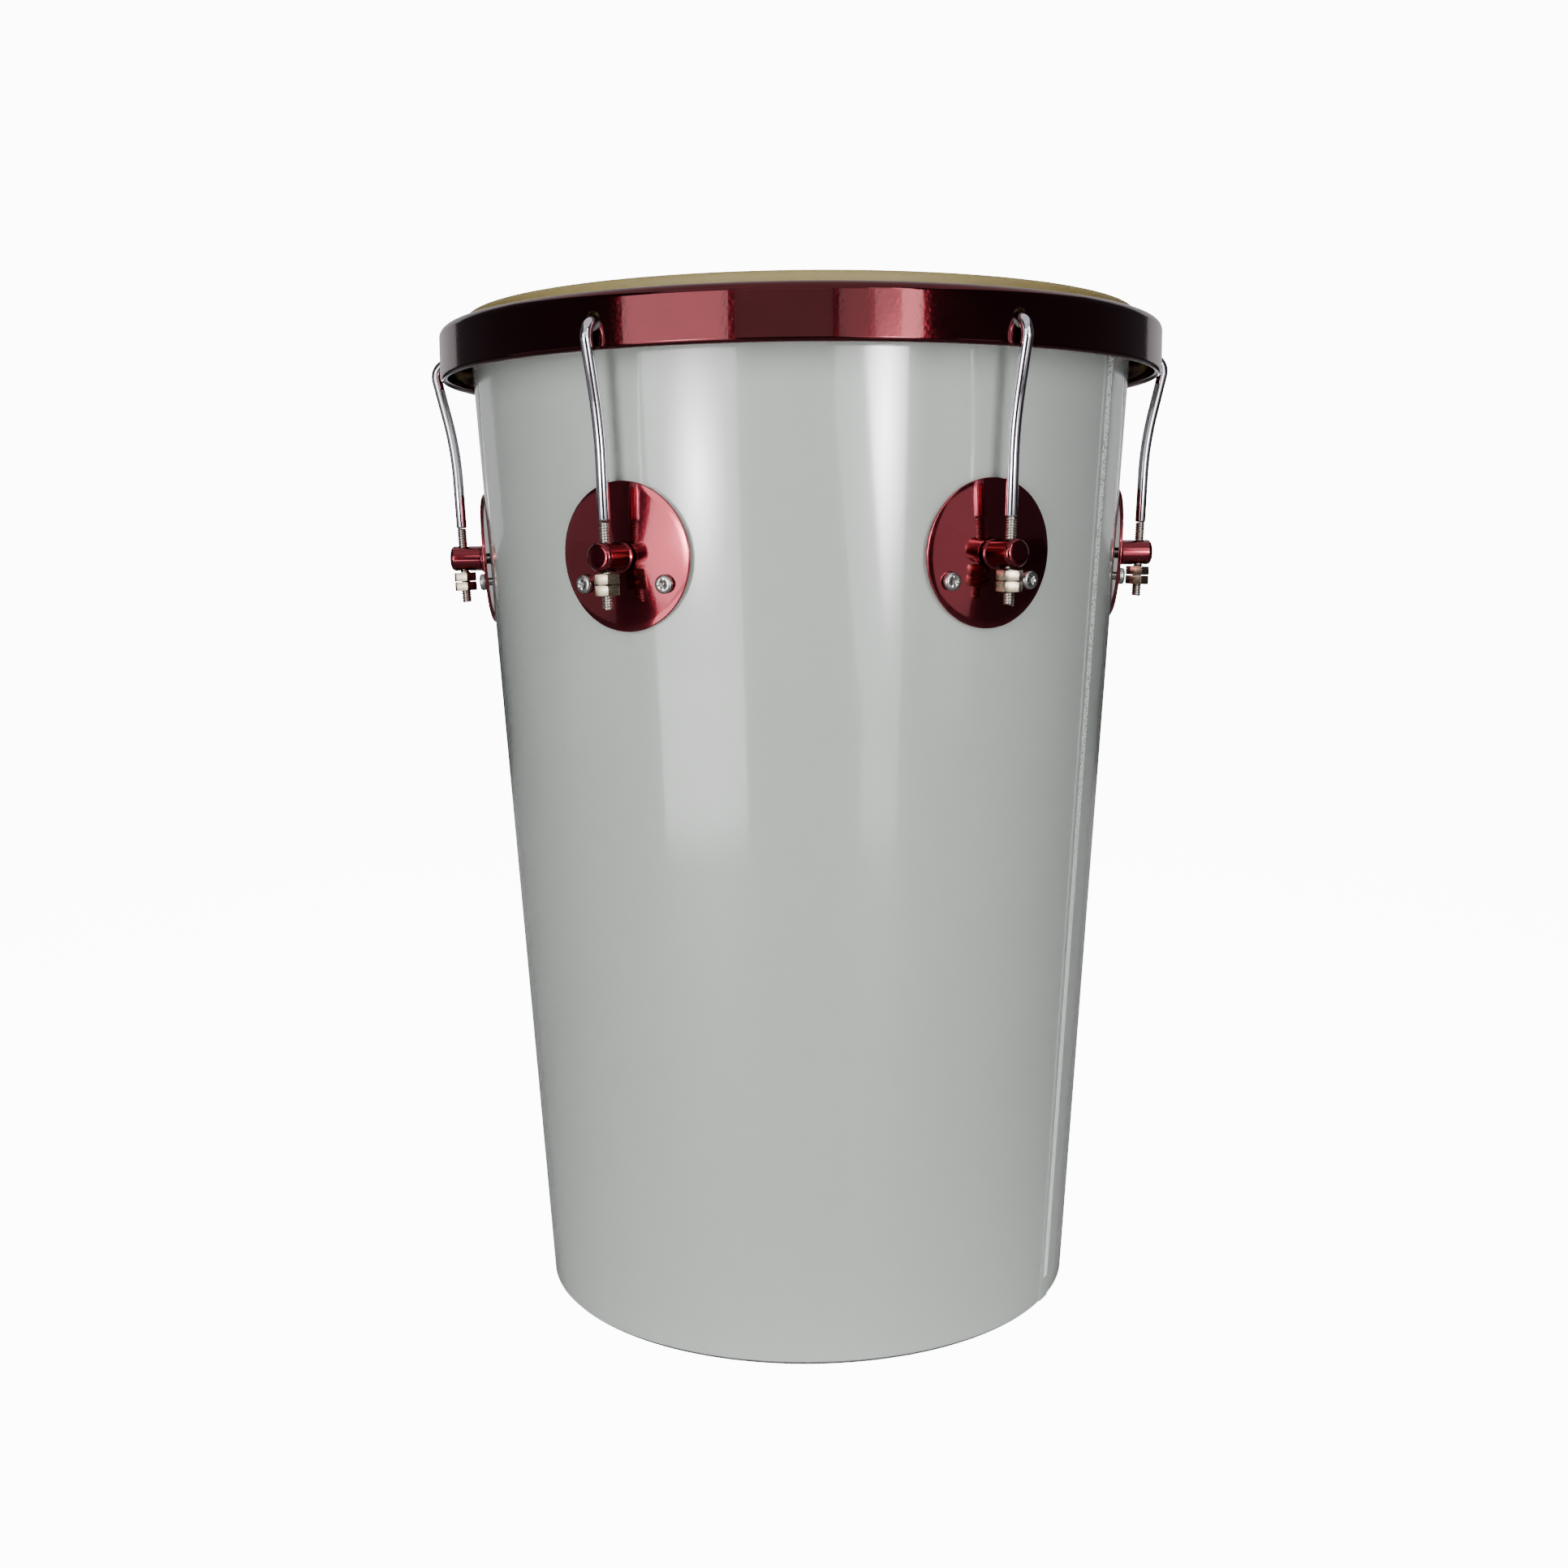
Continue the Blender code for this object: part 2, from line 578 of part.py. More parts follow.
def rod_curve():
    """Hook rod: straight through the barrel, leaning out past the hoop, then hooked into its skirt."""
    knee_radius = ROD_AXIS_RADIUS + ROD_KNEE_RISE * math.tan(math.radians(ROD_LEAN))
    knee_height = LUG_HEIGHT + ROD_KNEE_RISE
    pass_radius = HOOP_OUTER_RADIUS + ROD_HOOP_CLEARANCE + ROD_RADIUS
    slope = (pass_radius - knee_radius) / (HOOP_BOTTOM - knee_height)
    tail = ROD_TAIL * math.tan(math.radians(ROD_LEAN))
    corners = [
        (ROD_AXIS_RADIUS - tail, LUG_HEIGHT - ROD_TAIL),
        (knee_radius, knee_height),
        (knee_radius + slope * (HOOK_HEIGHT - knee_height), HOOK_HEIGHT),
        (HOOK_TIP_RADIUS, HOOK_HEIGHT),
    ]
    outline = rounded(corners, [(ROD_KNEE_RADIUS, KNEE_STEPS), (ROD_HOOK_RADIUS, HOOK_STEPS)])
    into_rod = rod_place().inverted()
    path = [into_rod @ Vector((radius, 0.0, height)) for radius, height in outline]
    curve = bpy.data.curves.new("hook_rod", "CURVE")
    curve.dimensions = "3D"
    curve.bevel_depth = ROD_RADIUS
    curve.bevel_resolution = 2
    curve.use_fill_caps = True
    spline = curve.splines.new("POLY")
    spline.points.add(len(path) - 1)
    for point, place in zip(spline.points, path):
        point.co = (*place, 1.0)
    return curve


def build_stations(materials, drills):
    """Six tuning stations: plate, barrel, bolt, hook rod, two nuts and two screws on each."""
    plate, barrel, bolt = plate_mesh(), barrel_mesh(), bolt_mesh()
    nut, screw, rod = nut_mesh(), screw_mesh(), rod_curve()
    barrel_drills = build_barrel_drills()
    lean = math.sin(math.radians(ROD_LEAN))
    nut_top = -BARREL_RADIUS - SEAT_GAP - NUT_ACROSS_FLATS * lean
    for index in range(LUG_COUNT):
        label = str(index + 1)
        station = bpy.data.objects.new("station_" + label, None)
        bpy.context.collection.objects.link(station)
        station.rotation_euler.z = station_angle(index)

        piece = add_object("lug_plate_" + label, plate, materials["plate"], station)
        combine(piece, drills, "DIFFERENCE")

        piece = add_object("lug_barrel_" + label, barrel, materials["barrel"], station)
        piece.matrix_local = along_x(BARREL_SEAT, LUG_HEIGHT)
        combine(piece, barrel_drills, "DIFFERENCE")

        piece = add_object("barrel_bolt_" + label, bolt, materials["bolt"], station)
        piece.matrix_local = along_x(bolt_seat(), LUG_HEIGHT)

        piece = add_object("hook_rod_" + label, rod, materials["rod"], station)
        piece.matrix_local = rod_place()

        for name, place in (("tuning_nut_", nut_top), ("lock_nut_", nut_top - NUT_HEIGHT - SEAT_GAP)):
            piece = add_object(name + label, nut, materials["nut"], station)
            piece.matrix_local = rod_place() @ Matrix.Translation((0.0, 0.0, place))

        head_gap = SEAT_GAP + SCREW_HEAD_RADIUS * PLATE_DISH / PLATE_RADIUS
        for name, side in (("plate_screw_left_", -1), ("plate_screw_right_", 1)):
            piece = add_object(name + label, screw, materials["screw"], station)
            piece.matrix_local = screw_place(side) @ Matrix.Translation((0.0, 0.0, head_gap))


def main():
    """Build the whole drum."""
    clear_scene()
    materials = {
        "shell": make_material("bare_aluminium", (0.62, 0.63, 0.64), 0.42, 1.0),
        "wrap": make_material("pale_grey_laminate", (0.50, 0.53, 0.53), 0.12, 0.0),
        "skin": make_material("natural_skin", (0.52, 0.42, 0.27), 0.62, 0.0),
        "ring": make_material("flesh_hoop_metal", (0.55, 0.55, 0.56), 0.38, 1.0),
        "hoop": make_material("red_candy_hoop", (0.32, 0.02, 0.04), 0.16, 0.85),
        "plate": make_material("red_candy_plate", (0.34, 0.02, 0.04), 0.20, 0.85),
        "barrel": make_material("red_candy_barrel", (0.30, 0.02, 0.03), 0.20, 0.85),
        "bolt": make_material("zinc_bolt", (0.60, 0.60, 0.58), 0.36, 1.0),
        "rod": make_material("bright_chrome", (0.80, 0.80, 0.82), 0.07, 1.0),
        "nut": make_material("nickel_nut", (0.66, 0.62, 0.54), 0.24, 1.0),
        "screw": make_material("zinc_screw", (0.68, 0.69, 0.68), 0.26, 1.0),
    }
    drills = build_drills()
    build_shell(materials["shell"], drills)
    build_wrap(materials["wrap"], drills)
    build_skin(materials["skin"])
    build_flesh_hoop(materials["ring"])
    build_tension_hoop(materials["hoop"])
    build_stations(materials, drills)


main()
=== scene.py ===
"""Rebolo drum: the finished look of every piece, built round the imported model.

Lengths are in metres. The drum's axis is Z and its front faces -Y. Azimuth is counted from the front
towards the right (+X), in degrees.
"""

import json
import math

import bmesh
import bpy
from bpy.props import FloatProperty, FloatVectorProperty, IntProperty, PointerProperty
from mathutils import Matrix, Vector


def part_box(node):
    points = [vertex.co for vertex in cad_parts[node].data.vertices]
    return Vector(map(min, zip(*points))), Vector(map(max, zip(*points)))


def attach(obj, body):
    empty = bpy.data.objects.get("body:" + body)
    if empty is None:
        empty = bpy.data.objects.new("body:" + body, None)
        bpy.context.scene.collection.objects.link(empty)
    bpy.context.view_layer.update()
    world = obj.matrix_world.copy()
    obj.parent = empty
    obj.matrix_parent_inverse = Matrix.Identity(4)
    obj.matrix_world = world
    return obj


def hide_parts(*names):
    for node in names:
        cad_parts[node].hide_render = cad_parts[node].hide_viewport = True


bl_info = {
    "name": "Rebolo Drum",
    "version": (1, 0, 0),
    "blender": (4, 5, 0),
    "location": "View3D > Sidebar > Drum",
    "description": "Models a conical hand drum with hook-and-nut tuning stations",
    "category": "Object",
}

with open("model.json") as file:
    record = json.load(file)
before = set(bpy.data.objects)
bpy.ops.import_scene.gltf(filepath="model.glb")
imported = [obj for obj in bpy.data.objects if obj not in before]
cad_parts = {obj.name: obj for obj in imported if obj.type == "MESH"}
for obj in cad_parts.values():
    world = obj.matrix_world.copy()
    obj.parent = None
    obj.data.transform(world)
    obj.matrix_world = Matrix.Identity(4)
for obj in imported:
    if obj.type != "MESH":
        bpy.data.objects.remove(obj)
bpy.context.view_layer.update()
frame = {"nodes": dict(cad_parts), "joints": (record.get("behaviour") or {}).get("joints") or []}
STATIONS = sum(name.startswith("lug_plate_") for name in frame["nodes"])
FRONT_ANGLE = -90.0
SAME_PLACE = 1e-6
NUT_TURNS = (8.0, -23.5, 9.0, 25.0, -8.0, 17.0)


def node_top(node):
    """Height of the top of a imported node."""
    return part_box(node)[1].z


def node_bottom(node):
    """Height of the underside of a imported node."""
    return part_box(node)[0].z


def node_radius(node):
    """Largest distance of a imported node's corners from the drum's axis."""
    return max(math.hypot(vert.co.x, vert.co.y) for vert in frame["nodes"][node].data.vertices)


def node_inner_radius(node):
    """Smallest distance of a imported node's corners from the drum's axis."""
    return min(math.hypot(vert.co.x, vert.co.y) for vert in frame["nodes"][node].data.vertices)


def joint(name):
    """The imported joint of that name."""
    return next(entry for entry in frame["joints"] if entry["name"] == name)


def length(name, default, description):
    """A length setting."""
    return FloatProperty(name=name, description=description, default=default, unit="LENGTH", precision=5)


def degrees(name, default, description):
    """An angle setting, given in degrees."""
    return FloatProperty(
        name=name, description=description, default=math.radians(default), subtype="ANGLE", unit="ROTATION",
    )


def colour(name, default, description):
    """A linear colour setting."""
    return FloatVectorProperty(
        name=name, description=description, default=default, size=3, subtype="COLOR", min=0.0, max=1.0,
    )


class DrumShellSettings(bpy.types.PropertyGroup):
    """Sizes of the shell and its laminate."""

    foot_radius: length("Foot radius", 0.1230, "Outer radius of the bare shell at its lower edge")
    wall: length("Wall", 0.0012, "Thickness of the aluminium")
    fold: length("Fold", 0.0065, "Width of the folded edges")
    edge_radius: length("Edge radius", 0.0018, "Radius of the folded edges")
    laminate: length("Laminate", 0.0005, "Thickness of the laminate")
    lap_width: length("Lap width", 0.0100, "Width of the laminate's overlap")
    seam_width: length("Seam width", 0.0042, "Width of the speckled strip along the overlap")
    lap_azimuth: degrees("Lap azimuth", 60.0, "Place of the overlap's middle")


class DrumHeadSettings(bpy.types.PropertyGroup):
    """Sizes of the skin, its ring and the tension hoop."""

    skin: length("Skin", 0.0006, "Thickness of the skin")
    bearing_radius: length("Bearing radius", 0.0022, "Radius of the skin over the bearing edge")
    tuck: length("Tuck", 0.0035, "How far the skin is tucked under its ring")
    sheet: length("Sheet", 0.0015, "Thickness of the hoop's sheet")
    shoulder: length("Shoulder", 0.0042, "Outer radius of the hoop's shoulder")
    hem: length("Hem", 0.0045, "Depth of the hoop's hem")
    hem_slot: length("Hem slot", 0.0005, "Gap inside the hem")
    hole_width: length("Hole width", 0.0074, "Width of a hook hole")
    hole_height: length("Hole height", 0.0078, "Height of a hook hole")
    hole_drop: length("Hole drop", 0.0118, "Depth of a hook hole's middle under the hoop's top")


class DrumStationSettings(bpy.types.PropertyGroup):
    """Sizes of the tuning stations."""

    first_azimuth: degrees("First azimuth", -30.0, "Place of the first station")
    plate_radius: length("Plate radius", 0.0300, "Radius of a lug plate")
    plate_sheet: length("Plate sheet", 0.0015, "Thickness of a lug plate")
    plate_dish: length("Plate dish", 0.0016, "How far a plate's middle stands off its rim")
    plate_bend: length("Plate bend", 0.2900, "Radius that a plate is bent to")
    barrel_radius: length("Barrel radius", 0.0058, "Radius of a lug's post")
    rod_radius: length("Rod radius", 0.0024, "Radius of a hook rod")
    rod_lean: degrees("Rod lean", 2.5, "Outward lean of a hook rod")
    hook_bend: length("Hook bend", 0.0065, "Radius of a rod's hook")
    thread_pitch: length("Thread pitch", 0.001058, "Pitch of the rods' thread")
    thread_top: length("Thread top", 0.0140, "Height of the thread's upper end above the lug's middle")
    nut_width: length("Nut width", 0.0095, "Nut size across flats")
    nut_height: length("Nut height", 0.0041, "Height of a nut")
    screw_head_radius: length("Screw head", 0.0038, "Radius of a plate screw's head")
    screw_spread: length("Screw spread", 0.0191, "Sideways distance of the plate screws from the post")
    screw_drop: length("Screw drop", 0.0108, "Depth of the plate screws below the post")


class DrumFinishSettings(bpy.types.PropertyGroup):
    """Colours of the drum's finishes."""

    laminate: colour("Laminate", (0.46, 0.497, 0.464), "Pale grey laminate")
    candy: colour("Red lacquer", (0.28, 0.022, 0.038), "Clear red lacquer over bright plating")
    # Darker copy of the red lacquer for the hoop: painted shade, not a thicker coat.
    shaded_hoop_candy: colour("Deep red lacquer", (0.085, 0.008, 0.012), "The same lacquer, thicker, on the hoop")
    # Darker copy of the red lacquer for the turned posts: painted shade.
    shaded_post_candy: colour("Post lacquer", (0.19, 0.015, 0.026), "The same lacquer on the turned posts")
    skin: colour("Skin", (0.26, 0.202, 0.072), "Natural hide")
    chrome: colour("Chrome", (0.64, 0.61, 0.66), "Bright chrome")
    nickel: colour("Nickel", (0.31, 0.255, 0.185), "Nickel plating")
    thread: colour("Thread", (0.42, 0.39, 0.36), "Rolled thread, left dull")
    zinc: colour("Zinc", (0.44, 0.44, 0.42), "Zinc plating")
    aluminium: colour("Aluminium", (0.58, 0.59, 0.60), "Rolled aluminium")


class DrumStageSettings(bpy.types.PropertyGroup):
    """Camera and floor, and the facets of the large round pieces."""

    camera_distance: length("Camera distance", 0.8285, "Distance of the camera from the drum's axis")
    camera_height: length("Camera height", 0.3426, "Height of the camera above the floor")
    camera_azimuth: degrees("Camera azimuth", -1.05, "Place of the camera round the drum")
    camera_pitch: degrees("Camera pitch", 7.443, "Downward tilt of the camera")
    camera_yaw: degrees("Camera yaw", 0.647, "Leftward turn of the camera")
    camera_roll: degrees("Camera roll", -0.544, "Roll of the camera")
    lens: FloatProperty(name="Lens", description="Focal length in millimetres", default=40.01)
    floor_size: length("Floor size", 12.0, "Width of the floor")
    turned_steps: IntProperty(name="Turned steps", description="Facets of the large round pieces", default=192)


class Settings(bpy.types.PropertyGroup):
    """Every setting of the drum."""

    shell: PointerProperty(type=DrumShellSettings)
    head: PointerProperty(type=DrumHeadSettings)
    station: PointerProperty(type=DrumStationSettings)
    finish: PointerProperty(type=DrumFinishSettings)
    stage: PointerProperty(type=DrumStageSettings)


def settings():
    """The settings kept on the scene."""
    return bpy.context.scene.drum


# Shader nodes

def add(tree, kind, values=None, **attributes):
    """Add a node, set its attributes and its unlinked inputs."""
    node = tree.nodes.new(kind)
    for key, value in attributes.items():
        setattr(node, key, value)
    for key, value in (values or {}).items():
        node.inputs[key].default_value = value
    return node


def wire(tree, source, output, target, socket):
    """Link an output to an input."""
    tree.links.new(source.outputs[output], target.inputs[socket])


def new_group(name, inputs, outputs):
    """A shader node group with named float, colour or vector sockets."""
    group = bpy.data.node_groups.new(name, "ShaderNodeTree")
    for label, kind, default in inputs:
        socket = group.interface.new_socket(label, in_out="INPUT", socket_type="NodeSocket" + kind)
        if default is not None:
            socket.default_value = default
    for label, kind in outputs:
        group.interface.new_socket(label, in_out="OUTPUT", socket_type="NodeSocket" + kind)
    return group, group.nodes.new("NodeGroupInput"), group.nodes.new("NodeGroupOutput")


def shared_group(name, build):
    """The node group of that name, built the first time that it is asked for."""
    return bpy.data.node_groups.get(name) or build(name)


def build_drift_group(name):
    """A slow drift of a colour: two sizes of noise darken and lighten it a little."""
    group, inputs, outputs = new_group(
        name,
        [("Colour", "Color", (0.5, 0.5, 0.5, 1.0)), ("Scale", "Float", 20.0), ("Amount", "Float", 0.1)],
        [("Colour", "Color"), ("Mask", "Float")],
    )
    place = add(group, "ShaderNodeTexCoord")
    noise = add(group, "ShaderNodeTexNoise", {"Detail": 5.0, "Roughness": 0.6})
    wire(group, place, "Object", noise, "Vector")
    wire(group, inputs, "Scale", noise, "Scale")
    centred = add(group, "ShaderNodeMath", {1: 0.5}, operation="SUBTRACT")
    wire(group, noise, "Fac", centred, 0)
    amount = add(group, "ShaderNodeMath", operation="MULTIPLY_ADD")
    amount.inputs[2].default_value = 1.0
    wire(group, centred, 0, amount, 0)
    wire(group, inputs, "Amount", amount, 1)
    shade = add(group, "ShaderNodeVectorMath", operation="SCALE")
    wire(group, inputs, "Colour", shade, 0)
    wire(group, amount, 0, shade, "Scale")
    wire(group, shade, 0, outputs, "Colour")
    wire(group, noise, "Fac", outputs, "Mask")
    return group


def build_speck_group(name):
    """Small scattered specks: a mask that is 1 in each speck."""
    group, inputs, outputs = new_group(
        name, [("Scale", "Float", 400.0), ("Size", "Float", 0.2)], [("Mask", "Float")],
    )
    place = add(group, "ShaderNodeTexCoord")
    cells = add(group, "ShaderNodeTexVoronoi", {"Randomness": 1.0})
    wire(group, place, "Object", cells, "Vector")
    wire(group, inputs, "Scale", cells, "Scale")
    inside = add(group, "ShaderNodeMath", operation="LESS_THAN")
    wire(group, cells, "Distance", inside, 0)
    wire(group, inputs, "Size", inside, 1)
    wire(group, inside, 0, outputs, "Mask")
    return group


def new_material(name, color, roughness, metallic):
    """A Principled material; returns it, its tree and its shader node."""
    material = bpy.data.materials.new(name)
    material.use_nodes = True
    tree = material.node_tree
    shader = tree.nodes["Principled BSDF"]
    shader.inputs["Base Color"].default_value = (*color, 1.0)
    shader.inputs["Roughness"].default_value = roughness
    shader.inputs["Metallic"].default_value = metallic
    material.diffuse_color = (*color, 1.0)
    return material, tree, shader


def add_drift(tree, shader, color, scale, amount):
    """Feed a drifting colour to a shader's base colour; returns the group node."""
    drift = add(tree, "ShaderNodeGroup", node_tree=shared_group("colour_drift", build_drift_group))
    drift.inputs["Colour"].default_value = (*color, 1.0)
    drift.inputs["Scale"].default_value = scale
    drift.inputs["Amount"].default_value = amount
    wire(tree, drift, "Colour", shader, "Base Color")
    return drift


def add_roughness(tree, shader, source, output, low, high):
    """Feed a mask to a shader's roughness, between two values."""
    spread = add(tree, "ShaderNodeMapRange", {"To Min": low, "To Max": high})
    wire(tree, source, output, spread, "Value")
    wire(tree, spread, "Result", shader, "Roughness")


def add_bump(tree, shader, source, output, strength, distance):
    """Feed a height to a shader's normal."""
    bump = add(tree, "ShaderNodeBump", {"Strength": strength, "Distance": distance})
    wire(tree, source, output, bump, "Height")
    wire(tree, bump, "Normal", shader, "Normal")


def noise_at(tree, scale, detail=4.0, stretch=None):
    """A noise texture on Object coordinates, which may be stretched."""
    place = add(tree, "ShaderNodeTexCoord")
    noise = add(tree, "ShaderNodeTexNoise", {"Scale": scale, "Detail": detail})
    if stretch is None:
        wire(tree, place, "Object", noise, "Vector")
        return noise
    mapping = add(tree, "ShaderNodeMapping", {"Scale": stretch})
    wire(tree, place, "Object", mapping, "Vector")
    wire(tree, mapping, "Vector", noise, "Vector")
    return noise


def laminate_material():
    """Glossy pale laminate with a soft orange peel and a few dust specks."""
    color = settings().finish.laminate
    material, tree, shader = new_material("pale_laminate", color, 0.2, 0.0)
    shader.inputs["Coat Weight"].default_value = 0.8
    shader.inputs["Coat Roughness"].default_value = 0.035
    drift = add_drift(tree, shader, color, 14.0, 0.05)
    add_roughness(tree, shader, drift, "Mask", 0.10, 0.18)
    peel = noise_at(tree, 220.0, 2.0, (1.0, 1.0, 0.25))
    add_bump(tree, shader, peel, "Fac", 0.05, 0.0004)
    return material


def painted_glint_seam_material():
    """Strip along the laminate's overlap, pale in its own colour and painted near white as a highlight; in the shell's
    upper part its white specks are painted glints between darker gaps.
    """
    material, tree, shader = new_material("seam_with_painted_glints", (0.66, 0.68, 0.66), 0.3, 0.0)
    specks = add(tree, "ShaderNodeGroup", node_tree=shared_group("specks", build_speck_group))
    specks.inputs["Scale"].default_value = 1200.0
    specks.inputs["Size"].default_value = 0.62
    place = add(tree, "ShaderNodeTexCoord")
    parts = add(tree, "ShaderNodeSeparateXYZ")
    wire(tree, place, "Object", parts, "Vector")
    fade = add(tree, "ShaderNodeMapRange", {"From Min": 0.16, "From Max": 0.27})
    wire(tree, parts, "Z", fade, "Value")
    gaps = add(tree, "ShaderNodeMath", {0: 1.0}, operation="SUBTRACT")
    wire(tree, specks, "Mask", gaps, 1)
    dark = add(tree, "ShaderNodeMath", operation="MULTIPLY")
    wire(tree, gaps, 0, dark, 0)
    wire(tree, fade, "Result", dark, 1)
    # Near white in each speck is a painted glint; the darker gaps show only in the shell's upper part.
    mix = add(tree, "ShaderNodeMix", data_type="RGBA")
    mix.inputs["A"].default_value = (0.97, 0.97, 0.97, 1.0)
    mix.inputs["B"].default_value = (0.26, 0.27, 0.26, 1.0)
    wire(tree, dark, 0, mix, "Factor")
    wire(tree, mix, "Result", shader, "Base Color")
    add_bump(tree, shader, specks, "Mask", 0.3, 0.0002)
    return material


def candy_material(name, color, coat, grain_bump):
    """Clear red lacquer over bright plating: deep at a glance, pink-red in a highlight."""
    material, tree, shader = new_material(name, color, 0.1, 1.0)
    shader.inputs["Coat Weight"].default_value = coat
    shader.inputs["Coat Roughness"].default_value = 0.03
    drift = add_drift(tree, shader, color, 60.0, 0.3)
    add_roughness(tree, shader, drift, "Mask", 0.05, 0.17)
    grain = noise_at(tree, 550.0, 3.0)
    add_bump(tree, shader, grain, "Fac", grain_bump, 0.0002)
    return material


def metal_material(name, color, low, high, scale, bump):
    """Plated or bare metal with a fine uneven surface."""
    material, tree, shader = new_material(name, color, low, 1.0)
    drift = add_drift(tree, shader, color, scale, 0.12)
    add_roughness(tree, shader, drift, "Mask", low, high)
    grain = noise_at(tree, scale * 8.0, 3.0)
    add_bump(tree, shader, grain, "Fac", bump, 0.0002)
    return material


def skin_material():
    """Natural hide: mottled, paler inside the bearing edge, with fine fibres and a dry surface."""
    color = settings().finish.skin
    material, tree, shader = new_material("natural_hide", color, 0.6, 0.0)
    shader.inputs["Subsurface Weight"].default_value = 0.08
    shader.inputs["Subsurface Radius"].default_value = (0.004, 0.002, 0.001)
    shader.inputs["Subsurface Scale"].default_value = 0.5
    drift = add_drift(tree, shader, color, 18.0, 0.45)
    place = add(tree, "ShaderNodeTexCoord")
    level = add(tree, "ShaderNodeVectorMath", {1: (1.0, 1.0, 0.0)}, operation="MULTIPLY")
    wire(tree, place, "Object", level, 0)
    reach = add(tree, "ShaderNodeVectorMath", operation="LENGTH")
    wire(tree, level, 0, reach, 0)
    inside = add(tree, "ShaderNodeMapRange", {"From Min": 0.149, "From Max": 0.125, "To Min": 0.0, "To Max": 1.0})
    wire(tree, reach, "Value", inside, "Value")
    pale = add(tree, "ShaderNodeMix", data_type="RGBA", blend_type="SCREEN")
    pale.inputs["B"].default_value = (0.19, 0.17, 0.15, 1.0)
    wire(tree, inside, "Result", pale, "Factor")
    wire(tree, drift, "Colour", pale, "A")
    wire(tree, pale, "Result", shader, "Base Color")
    add_roughness(tree, shader, drift, "Mask", 0.45, 0.75)
    fibres = noise_at(tree, 240.0, 8.0, (1.0, 0.3, 1.0))
    add_bump(tree, shader, fibres, "Fac", 0.25, 0.0005)
    return material


def finish_material(name, build):
    """The material of that name, built the first time that it is asked for."""
    return bpy.data.materials.get(name) or build()


def red_candy():
    """The plates' lacquer."""
    return finish_material("red_candy", lambda: candy_material("red_candy", settings().finish.candy, 0.85, 0.08))


def shaded_hoop_candy():
    """The hoop's lacquer, darkened as painted shade."""
    return finish_material("shaded_hoop_candy", lambda: candy_material("shaded_hoop_candy", settings().finish.shaded_hoop_candy, 0.4, 0.2))


def shaded_post_candy():
    """The posts' lacquer, darkened as painted shade."""
    return finish_material("shaded_post_candy", lambda: candy_material("shaded_post_candy", settings().finish.shaded_post_candy, 0.5, 0.05))


# Modelling

def rounded(corners, arcs):
    """Flat outline whose inner corners are arcs of a (radius, steps) pair, or sharp where it is None."""
    points = [Vector(corners[0])]
    for before, corner, after, arc in zip(corners, corners[1:], corners[2:], arcs):
        corner = Vector(corner)
        if arc is None:
            points.append(corner)
            continue
        radius, steps = arc
        to_before = (Vector(before) - corner).normalized()
        to_after = (Vector(after) - corner).normalized()
        half_angle = to_before.angle(to_after) / 2.0
        centre = corner + (to_before + to_after).normalized() * (radius / math.sin(half_angle))
        start = corner + to_before * (radius / math.tan(half_angle)) - centre
        end = corner + to_after * (radius / math.tan(half_angle)) - centre
        sweep = start.angle_signed(end)
        for step in range(steps + 1):
            point = centre + Matrix.Rotation(-sweep * step / steps, 2) @ start
            if (point - points[-1]).length > SAME_PLACE:
                points.append(point)
    points.append(Vector(corners[-1]))
    return points


def spun(outline, steps, closed, angle=math.tau, start=0.0):
    """Spin an outline of (radius, height) points round Z."""
    bm = bmesh.new()
    turn = Matrix.Rotation(start, 3, "Z")
    verts = [bm.verts.new(turn @ Vector((radius, 0.0, height))) for radius, height in outline]
    pairs = list(zip(verts, verts[1:]))
    if closed:
        pairs.append((verts[-1], verts[0]))
    edges = [bm.edges.new(pair) for pair in pairs]
    full = abs(angle - math.tau) < SAME_PLACE
    bmesh.ops.spin(
        bm, geom=verts + edges, cent=(0.0, 0.0, 0.0), axis=(0.0, 0.0, 1.0),
        angle=angle, steps=steps, use_merge=full, use_duplicate=False,
    )
    bmesh.ops.remove_doubles(bm, verts=bm.verts, dist=SAME_PLACE)
    if not full:
        bmesh.ops.holes_fill(bm, edges=bm.edges, sides=0)
    bmesh.ops.recalc_face_normals(bm, faces=bm.faces)
    return bm


def sheet_wall(outline, thickness):
    """Closed outline of a sheet: the centre line offset half its thickness to both sides."""
    sides = ([], [])
    last = len(outline) - 1
    for index, point in enumerate(outline):
        before = (point - outline[index - 1]).normalized() if index else None
        after = (outline[index + 1] - point).normalized() if index < last else None
        along = ((before or after) + (after or before)).normalized()
        spread = thickness / 2.0 / max(0.2, along.dot(before or after))
        normal = Vector((-along.y, along.x)) * spread
        sides[0].append(point + normal)
        sides[1].append(point - normal)
    return sides[0] + sides[1][::-1]


def bevel_sharp(bm, angle, width, segments):
    """Bevel the edges that are sharper than an angle."""
    edges = [
        edge for edge in bm.edges
        if len(edge.link_faces) == 2 and edge.calc_face_angle() > math.radians(angle)
    ]
    bmesh.ops.bevel(
        bm, geom=edges, offset=width, segments=segments, profile=0.5, affect="EDGES",
        material=-1, clamp_overlap=True,
    )


